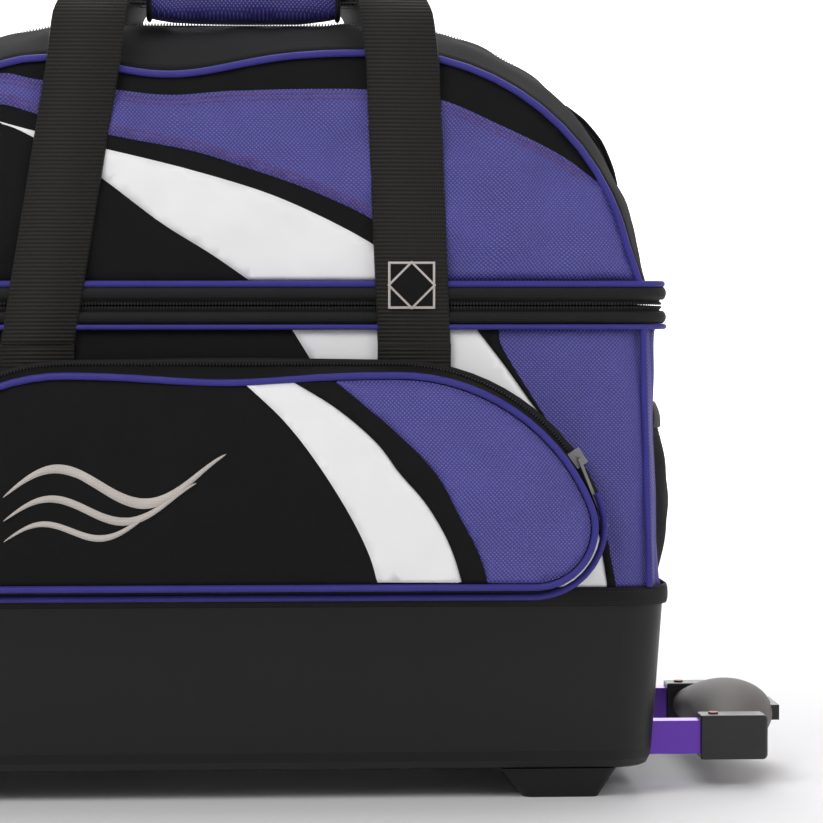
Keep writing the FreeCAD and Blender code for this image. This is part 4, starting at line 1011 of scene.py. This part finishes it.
class ROLLERBAG_OT_crown_zip(Operator):
    """Make the zip over the lid's crown and its folded tab"""
    bl_idname = "rollerbag.crown_zip"
    bl_label = "Crown zip"

    def execute(self, context):
        trim = context.scene.roller_bag_trim
        line = [p for p in lid_line(CROWN_SHAPE, 4.0, grow=2.2) if p.y > 400]
        verts = []
        for p in line:
            for y, up in ((-13, 0), (-9, 1.1), (9, 1.1), (13, 0)):
                verts.append(at(p.x, y, p.y + up))
        tape = new_object("crown_tape", verts, grid_faces(len(line), 4), "black_tape")
        thickened(tape, 1.2)
        tab_line = [p for p in lid_line(CROWN_SHAPE, 4.0, grow=4.6) if p.x > 200 and 432 < p.y < 492]
        tab_verts = []
        for i, p in enumerate(tab_line):
            swell = 3.2 * math.sin(math.pi * i / max(1, len(tab_line) - 1))
            for y in (-14, -9, 0, 9, 14):
                tab_verts.append(at(p.x + swell, y, p.y + swell + 1.2 * math.cos(y / 14 * 1.3)))
        tab = new_object("tab", tab_verts, grid_faces(len(tab_line), 5), "black_twill")
        thickened(tab, 3.0)
        settle(joined("crown_zip_tape", [tape, tab]), "lid", "black_binding", "top_zip")
        teeth = [(p.x, 0, p.y + 2.4) for p in line]
        settle(repeated("crown_teeth", [teeth], "zip", trim.tooth_pitch, 1.5, 5.0, 1.6), "lid", "zip_coil")
        return {"FINISHED"}


class ROLLERBAG_OT_pocket(Operator):
    """Make the front pocket: padded panel, flared gusset, piping and zip"""
    bl_idname = "rollerbag.pocket"
    bl_label = "Front pocket"

    def execute(self, context):
        puff = context.scene.roller_bag_cloth.puff
        trim = context.scene.roller_bag_trim
        inner = pocket_line(0, 4.0)
        distance = edge_distance(inner)

        def skin(x, z):
            d = distance(x, z)
            swell = puff * (1 - math.exp(-d / 26))
            folds = crease(x, 0, z, 42, 2.6, 3.0) + crease(x, 0, z, 14, 0.9, 5.0)
            return POCKET_SKIN + swell + folds * min(1, d / 22)

        def sagged(line):
            return [Vector((p.x, p.y - pocket_dip(p.x, p.y))) for p in line]

        panel = sewn_panel("pocket_ground", sagged(inner), skin, "black_twill", 8.0)
        settle(panel, "pocket", "body_fabric", "pocket_panel")

        rows = 9
        outline = pocket_line(0, 4.0)
        wide = pocket_line(POCKET_FLARE, 4.0)
        verts = []
        for r in range(rows):
            share = r / (rows - 1)
            for i, p in enumerate(outline):
                q = wide[min(len(wide) - 1, round(i / len(outline) * len(wide)))]
                m = q.lerp(p, share)
                m.y -= pocket_dip(m.x, m.y) * share
                middle = math.sin(math.pi * share)
                bow = 1.2 * middle + crease(m.x, share * 30, m.y, 30, 1.4) * middle
                away = (p - Vector((0, 220))).normalized()
                m += away * bow
                verts.append(at(m.x, -(POCKET_BACK + POCKET_DEPTH * share), m.y))
        gusset = new_object("pocket_sides", verts, grid_faces(rows, len(outline), closed=True), "black_twill")
        thickened(gusset, 2.0)
        outward(gusset.data)
        settle(gusset, "pocket", "body_fabric", "pocket_gusset")

        left = smooth_line([(0, 303), (5, 300), (33, 274), (56, 245), (78, 210), (92, 181), (98, 158),
                            (100, 143)])
        right = smooth_line([(33, 303), (69, 281), (96, 258), (112, 237), (130, 216), (145, 190), (154, 163),
                             (157, 143)])
        far = smooth_line([(62, 304), (96, 276), (112, 262), (136, 237), (152, 208), (165, 183), (171, 163),
                           (173, 143)])
        ring = sagged(inner)

        def within(line):
            """The points of a seam that lie inside the pocket's outline."""
            kept = []
            for p in line:
                odd = False
                for a, b in zip(ring, ring[1:] + ring[:1]):
                    if (a.y > p.y) != (b.y > p.y):
                        crossing = (b.x - a.x) * (p.y - a.y) / (b.y - a.y) + a.x
                        if p.x < crossing:
                            odd = not odd
                if odd and distance(p.x, p.y) > 1.5:
                    kept.append(p)
            return kept

        left, right, far = within(left), within(right), within(far)
        rest = [p for p in ring if p.x > far[0].x and p.y > 200 or p.x > far[-1].x and p.y <= 200]
        rest = sorted(rest, key=lambda p: -math.atan2(p.y - 225, p.x - 140))
        inset = [p + (Vector((150, 225)) - p).normalized() * 1.5 for p in rest]
        pieces = [
            sewn_panel("white", clean(left + right[::-1]), skin, "white_vinyl", 6.0, 0.7),
            sewn_panel("band", clean(right + far[::-1]), skin, "black_twill", 6.0, 1.1),
            sewn_panel("violet", clean(inset + far[::-1]), skin, "violet_dobby", 6.0, 0.7),
        ]
        settle(joined("pocket_front_panels", pieces), "pocket", "body_fabric")

        cords = []
        for grow, y in ((1.6, POCKET_SKIN + 0.4), (9.5, POCKET_SKIN - 15)):
            path = sagged(pocket_line(grow, 4.0))
            if grow > 3:
                path = [p for p in path if p.y < 225]
                path = sorted(path, key=lambda p: math.atan2(p.x, -(p.y - 230)))
            cords.append(tube("cord", [(p.x, -y, p.y) for p in path], trim.piping, "violet_piping",
                              closed=grow < 3))
        settle(joined("pocket_edge_piping", cords), "pocket", "violet_piping", "pocket_piping")

        arc = [p for p in pocket_line(POCKET_FLARE + 1, 3.0) if p.y > 212]
        arc = sorted(arc, key=lambda p: math.atan2(p.x, p.y - 180))
        tape_verts = []
        for p in arc:
            out = (p - Vector((0, 200))).normalized()
            for grow, y in ((-1, 161.6), (1.8, 161.2), (4.4, 160.4)):
                tape_verts.append(at(p.x + out.x * grow, -y, p.y + out.y * grow))
        tape = new_object("pocket_tape", tape_verts, grid_faces(len(arc), 3), "black_tape")
        thickened(tape, 1.2)
        settle(tape, "base", "black_binding", "pocket_zip_tape")
        teeth = [(p.x, -163.2, p.y) for p in arc]
        settle(repeated("pocket_teeth", [teeth], "zip", trim.tooth_pitch, 1.5, 2.6, 1.8), "pocket",
               "zip_coil", "pocket_zip_coil")

        self.flourish(skin)
        return {"FINISHED"}

    def flourish(self, skin):
        """A sewn flourish of three plain waves, in satin stitch, in place of any lettering."""
        pieces = []
        for base, reach, tall, width in ((222, 148, 15, 3.4), (206, 128, 11, 2.6), (192, 104, 8, 2.0)):
            count = 80
            verts = []
            for i in range(count + 1):
                t = i / count
                x = -152 + reach * t
                z = base + tall * math.sin(t * math.tau * 1.15) + t * 16
                wide = width * math.sin(math.pi * t) ** 0.6 + 0.25
                for k, lift in ((-1, 0.2), (-0.5, 1.3), (0, 1.6), (0.5, 1.3), (1, 0.2)):
                    verts.append(at(x, -(skin(x, z) + lift), z + wide * k))
            pieces.append(new_object("wave", verts, grid_faces(count + 1, 5), "silver_thread"))
        settle(joined("sewn_flourish", pieces), "pocket", "patch_thread")


class ROLLERBAG_OT_end_pocket(Operator):
    """Make the mesh pocket on the handle end, with its hem"""
    bl_idname = "rollerbag.end_pocket"
    bl_label = "Mesh end pocket"

    def execute(self, context):
        rows, columns = 24, 36
        verts = []
        for r in range(rows):
            v = r / (rows - 1)
            z = 159 + 115 * v
            for c in range(columns):
                u = -1 + 2 * c / (columns - 1)
                y = 92 * u
                share = (z - WALL_LOW) / (WALL_TOP - WALL_LOW)
                wall = TUB_HALF[0] - 4 * share
                bulge = 19 * (1 - u ** 4) * math.sin(math.pi * min(1, v * 0.8 + 0.12)) ** 0.7
                verts.append(at(wall - 3.0 + bulge + crease(0, y, z, 26, 1.4), y, z))
        pocket = new_object("end_mesh", verts, grid_faces(rows, columns), "black_mesh")
        thickened(pocket, 0.9)
        settle(pocket, "base", "black_mesh", "mesh_pocket")
        hem_verts = []
        for r in range(7):
            v = r / 6
            z = 262 + 17 * v
            for c in range(columns):
                u = -1 + 2 * c / (columns - 1)
                share = (z - WALL_LOW) / (WALL_TOP - WALL_LOW)
                bulge = (13.5 - 4 * v) * (1 - u ** 4) + 1.4 * math.sin(math.pi * v)
                hem_verts.append(at(TUB_HALF[0] - 4 * share - 3.0 + bulge, 93 * u, z))
        hem = new_object("end_mesh_hem", hem_verts, grid_faces(7, columns), "black_tape")
        thickened(hem, 2.0)
        settle(hem, "base", "black_mesh", "mesh_pocket_hem")
        return {"FINISHED"}


class ROLLERBAG_OT_straps(Operator):
    """Make the two carrying loops, the wrap grip and the sewn patch"""
    bl_idname = "rollerbag.straps"
    bl_label = "Carrying straps"

    def loop(self, name, side, foot_z, run_y):
        """One loop of webbing: legs, shoulders and the folded run."""
        top, shoulder, wide = STRAP_TOP, STRAP_SHOULDER, WEBBING_WIDTH
        leg = side * STRAP_Y
        depth = leg - run_y
        rise = (foot_z - STRAP_HINGE) / (shoulder - STRAP_HINGE)
        half = {}
        for end in (1, -1):
            low_x = end * STRAP_FOOT_X + STRAP_SHIFT
            high_x = end * STRAP_SHOULDER_X + STRAP_LEAN
            foot_x = low_x + (high_x - low_x) * rise
            run_x = end * 70.5 + STRAP_LEAN
            stations = []
            for i in range(13):
                t = i / 12
                centre = (foot_x + (high_x - foot_x) * t, leg, foot_z + (shoulder - foot_z) * t)
                stations.append((centre, (end, 0, 0), (0, side, 0), wide, 2.2))
            stations += [
                ((high_x - 4 * end, leg - depth * 0.06, top - 19), (end, 0, 0), (0, side, 0.5), wide, 2.2),
                ((high_x - 9 * end, leg - depth * 0.25, top - 4), (end, -side * 0.2, 0),
                 (0, side * 0.4, 1), 45, 2.9),
                ((run_x + 14 * end, run_y + depth * 0.3, top), (end * 0.8, -side * 0.6, 0), (0, 0, 1),
                 37.5, 3.7),
                ((run_x + 4 * end, run_y + depth * 0.08, top), (end * 0.3, -side, 0), (0, 0, 1), 30, 5),
                ((run_x, run_y, top), (0, -side, 0), (0, 0, 1), 30, 5),
            ]
            half[end] = stations
        second = half[-1][::-1]
        seam = half[1][-1][1]
        stations = half[1] + [(c, (-a[0], -a[1], 0) if i else seam, f, w, t)
                              for i, (c, a, f, w, t) in enumerate(second)]
        verts = []
        uvs = []
        length = 0.0
        previous = None
        section = [(-1, -0.5), (-0.96, 0.5), (0, 0.62), (0.96, 0.5), (1, -0.5), (0, -0.62)]
        for centre, across, facing, width, thick in smoother(stations):
            if previous is not None:
                length += (centre - previous).length
            previous = centre
            for u, v in section:
                p = centre + across * (u * width / 2) + facing * (v * thick)
                verts.append(at(*p))
                uvs.append((u * width / 2 * MM, length * MM))
        count = len(verts) // len(section)
        faces = grid_faces(count, len(section), closed=True)
        faces.append(tuple(range(len(section))))
        faces.append(tuple(range(len(verts) - len(section), len(verts))))
        obj = new_object(name, verts, faces, "webbing", uvs)
        return obj

    def execute(self, context):
        settle(self.loop("front_webbing", -1, 322.5, RUN_FRONT), "front_loop", "webbing", "front_strap")
        settle(self.loop("rear_webbing", 1, 349.5, RUN_REAR), "rear_loop", "webbing", "rear_strap")

        tails = []
        for side, high, low in ((-1, 323, 300), (1, 350, 313)):
            for end in (1, -1):
                middle = end * STRAP_FOOT_X + STRAP_SHIFT
                tail_verts = []
                tail_uvs = []
                for i in range(8):
                    z = high + (low - high) * i / 7
                    for u in (-25, 0, 25):
                        lean = end * 0.01 * (STRAP_HINGE - z)
                        tail_verts.append(at(middle + u - lean, side * (STRAP_Y - 0.2), z))
                        tail_uvs.append((u * MM, z * MM))
                tail = new_object("tail", tail_verts, grid_faces(8, 3), "webbing", tail_uvs)
                tails.append(thickened(tail, 2.0))
        settle(joined("webbing_tails", tails), "base", "webbing", "strap_anchors")

        rows, sides = 40, 28
        verts = []
        for r in range(rows):
            t = r / (rows - 1)
            x = STRAP_LEAN - GRIP_HALF + 2 * GRIP_HALF * t
            close = 1 - 0.22 * (abs(2 * t - 1) ** 6)
            for cy, cz in squarish(sides):
                swell = 1 + 0.035 * noise.noise(Vector((x / 18, cy * 2, cz * 2)))
                verts.append(at(x, RUN_FRONT + 17.5 * cy * close * swell,
                                STRAP_TOP + 18.5 * cz * close * swell))
        faces = grid_faces(rows, sides, closed=True)
        faces.append(tuple(range(sides)))
        faces.append(tuple(range(len(verts) - sides, len(verts))))
        wrap = new_object("wrap_pad", verts, faces, "violet_wrap")
        outward(wrap.data)
        cushion(wrap, 2.5)
        settle(wrap, "front_loop", "violet_mesh", "grip_wrap")
        edging = []
        for end in (-1, 1):
            ring = [(STRAP_LEAN + end * 67, RUN_FRONT + 15 * cy, STRAP_TOP + 16 * cz)
                    for cy, cz in squarish(sides)]
            edging.append(tube("edge", ring, 1.8, "black_tape", closed=True))
        settle(joined("wrap_edging", edging), "front_loop", "violet_mesh")

        face = -(STRAP_Y + 2.1)
        pieces = []
        for half, lift, finish in ((16, 0.9, "silver_thread"), (14.4, 1.2, "black_twill"),
                                   (10.5, 1.5, "silver_thread"), (9.2, 1.8, "black_twill")):
            turn = math.radians(45 if half < 12 else 0)
            scale = 1 if half > 12 else 1.12
            verts = []
            n = 6
            for i in range(n + 1):
                for j in range(n + 1):
                    u, v = (-1 + 2 * i / n) * half * scale, (-1 + 2 * j / n) * half * scale
                    verts.append(at(122 + u * math.cos(turn) - v * math.sin(turn), face - lift,
                                    363 + u * math.sin(turn) + v * math.cos(turn)))
            patch = new_object("square", verts, grid_faces(n + 1, n + 1), finish, smooth=False)
            pieces.append(thickened(patch, 0.5))
        settle(joined("sewn_patch", pieces), "front_loop", "patch_thread", "strap_patch")
        return {"FINISHED"}


def squarish(sides):
    """Points round a square with very round corners, reaching 1 each way."""
    out = []
    for k in range(sides):
        turn = math.tau * k / sides
        out.append([math.copysign(abs(wave) ** 0.6, wave) for wave in (math.cos(turn), math.sin(turn))])
    return out


def smoother(stations):
    """More sections between the given ones, with their directions turned smoothly."""
    out = []
    data = [(Vector(c), Vector(a).normalized(), Vector(f).normalized(), w, t)
            for c, a, f, w, t in stations]
    fixed = []
    for c, a, f, w, t in data:
        if fixed and a.dot(fixed[-1][1]) < -0.2:
            a = -a
        fixed.append((c, a, f, w, t))
    for i in range(len(fixed) - 1):
        p0 = fixed[max(0, i - 1)]
        p1, p2 = fixed[i], fixed[i + 1]
        p3 = fixed[min(len(fixed) - 1, i + 2)]
        for quarter in range(4):
            t = quarter / 4
            centre = 0.5 * (2 * p1[0] + (p2[0] - p0[0]) * t
                            + (2 * p0[0] - 5 * p1[0] + 4 * p2[0] - p3[0]) * t ** 2
                            + (3 * p1[0] - p0[0] - 3 * p2[0] + p3[0]) * t ** 3)
            across = p1[1].lerp(p2[1], t).normalized()
            facing = p1[2].lerp(p2[2], t).normalized()
            width, thick = (p1[k] + (p2[k] - p1[k]) * t for k in (3, 4))
            out.append((centre, across, facing, width, thick))
    out.append(fixed[-1])
    return out


def cushion(obj, cap):
    """Swell a closed pad with cloth pressure, no point moving farther than the cap."""
    rest = [v.co.copy() for v in obj.data.vertices]
    scene = bpy.context.scene
    modifier = obj.modifiers.new("Cloth", "CLOTH")
    modifier.settings.use_pressure = True
    modifier.settings.uniform_pressure_force = 4
    modifier.settings.effector_weights.gravity = 0
    for number in range(1, 16):
        scene.frame_set(number)
    depsgraph = bpy.context.evaluated_depsgraph_get()
    swollen = [v.co.copy() for v in obj.evaluated_get(depsgraph).data.vertices]
    obj.modifiers.clear()
    for vertex, before, after in zip(obj.data.vertices, rest, swollen):
        move = after - before
        if move.length > cap * MM:
            move = move.normalized() * cap * MM
        vertex.co = before + move
    scene.frame_set(1)


class ROLLERBAG_OT_padding(Operator):
    """Make the foam cradles and the divider inside"""
    bl_idname = "rollerbag.padding"
    bl_label = "Inner padding"

    def execute(self, context):
        for name, label in (("foam_cradles", "cradle_pads"), ("ball_divider", "divider_pad")):
            pad = softened(name, label, 2.5, 6, "foam")
            settle(pad, "base", "foam", name)
        return {"FINISHED"}


class ROLLERBAG_OT_sockets(Operator):
    """Make the pull handle's sockets with softly rounded edges"""
    bl_idname = "rollerbag.sockets"
    bl_label = "Grip sockets"

    def execute(self, context):
        for name, label in (("grip_socket_front", "socket_near"), ("grip_socket_rear", "socket_far")):
            settle(softened(name, label, 0.7, 10, "nylon"), "pull_handle", "moulded_black", name)
        return {"FINISHED"}


class ROLLERBAG_OT_stage(Operator):
    """Make the floor, the soft light and the camera"""
    bl_idname = "rollerbag.stage"
    bl_label = "Stage"

    def execute(self, context):
        scene = context.scene
        verts = []
        for x in (-9, 9):
            for y, z in ((-9, 0), (5.4, 0), (6.4, 0.15), (7.0, 0.9), (7.1, 7.0)):
                verts.append((x, y, z))
        floor = new_object("paper_floor", verts, grid_faces(2, 5), None)
        floor.data.materials.append(shader("White paper sweep", "f4f3f4", 0.9)[0])
        smooth = floor.modifiers.new("Smooth", "SUBSURF")
        smooth.levels = smooth.render_levels = 3
        world = bpy.data.worlds.new("Studio")
        world.use_nodes = True
        world.node_tree.nodes["Background"].inputs[0].default_value = linear("f7f6f7")
        world.node_tree.nodes["Background"].inputs[1].default_value = 0.42
        scene.world = world
        for name, place, aim, width, power in (
                ("key", (-1.3, -1.8, 2.1), (0, 0, 0.3), 1.3, 30),
                ("fill", (2.2, -1.4, 1.4), (0.1, 0, 0.3), 1.2, 13),
                ("top", (0.2, 0.5, 2.6), (0, 0, 0.3), 1.8, 22),
                ("backdrop", (0, 4.0, 4.4), (0, 7.0, 1.2), 4.0, 520)):
            lamp = bpy.data.lights.new(name, "AREA")
            lamp.energy = power
            lamp.size = width
            obj = bpy.data.objects.new(name, lamp)
            scene.collection.objects.link(obj)
            obj.location = place
            obj.rotation_euler = (Vector(aim) - Vector(place)).to_track_quat("-Z", "Y").to_euler()
        data = bpy.data.cameras.new("camera")
        data.lens = scene.roller_bag_stage.lens
        data.sensor_width = 36
        camera = bpy.data.objects.new("camera", data)
        scene.collection.objects.link(camera)
        camera.location = at(*CAMERA_AT)
        camera.rotation_euler = (at(*CAMERA_AIM) - camera.location).to_track_quat("-Z", "Y").to_euler()
        scene.camera = camera
        scene.view_settings.view_transform = "Standard"
        return {"FINISHED"}


STEPS = (
    ROLLERBAG_OT_finishes, ROLLERBAG_OT_hard_parts, ROLLERBAG_OT_body, ROLLERBAG_OT_rim,
    ROLLERBAG_OT_zip_band, ROLLERBAG_OT_lid, ROLLERBAG_OT_crown_zip, ROLLERBAG_OT_pocket,
    ROLLERBAG_OT_end_pocket, ROLLERBAG_OT_straps, ROLLERBAG_OT_padding,
    ROLLERBAG_OT_sockets, ROLLERBAG_OT_stage,
)


class ROLLERBAG_PT_panel(Panel):
    """The bag's sizes and steps"""
    bl_label = "Roller Bag"
    bl_idname = "ROLLERBAG_PT_panel"
    bl_space_type = "VIEW_3D"
    bl_region_type = "UI"
    bl_category = "Roller Bag"

    def draw(self, context):
        for group in ("roller_bag_cloth", "roller_bag_trim", "roller_bag_stage"):
            values = getattr(context.scene, group)
            for name in values.__annotations__:
                self.layout.prop(values, name)
        for step in STEPS:
            self.layout.operator(step.bl_idname)


GROUPS = {"roller_bag_cloth": RollerBagCloth, "roller_bag_trim": RollerBagTrim,
          "roller_bag_stage": RollerBagStage}


def register():
    for group in GROUPS.values():
        bpy.utils.register_class(group)
    for name, group in GROUPS.items():
        setattr(bpy.types.Scene, name, PointerProperty(type=group))
    for step in STEPS:
        bpy.utils.register_class(step)
    bpy.utils.register_class(ROLLERBAG_PT_panel)


def unregister():
    bpy.utils.unregister_class(ROLLERBAG_PT_panel)
    for step in reversed(STEPS):
        bpy.utils.unregister_class(step)
    for name, group in GROUPS.items():
        delattr(bpy.types.Scene, name)
        bpy.utils.unregister_class(group)


def main():
    register()
    for step in STEPS:
        group, name = step.bl_idname.split(".")
        getattr(getattr(bpy.ops, group), name)()


if __name__ == "__main__":
    main()
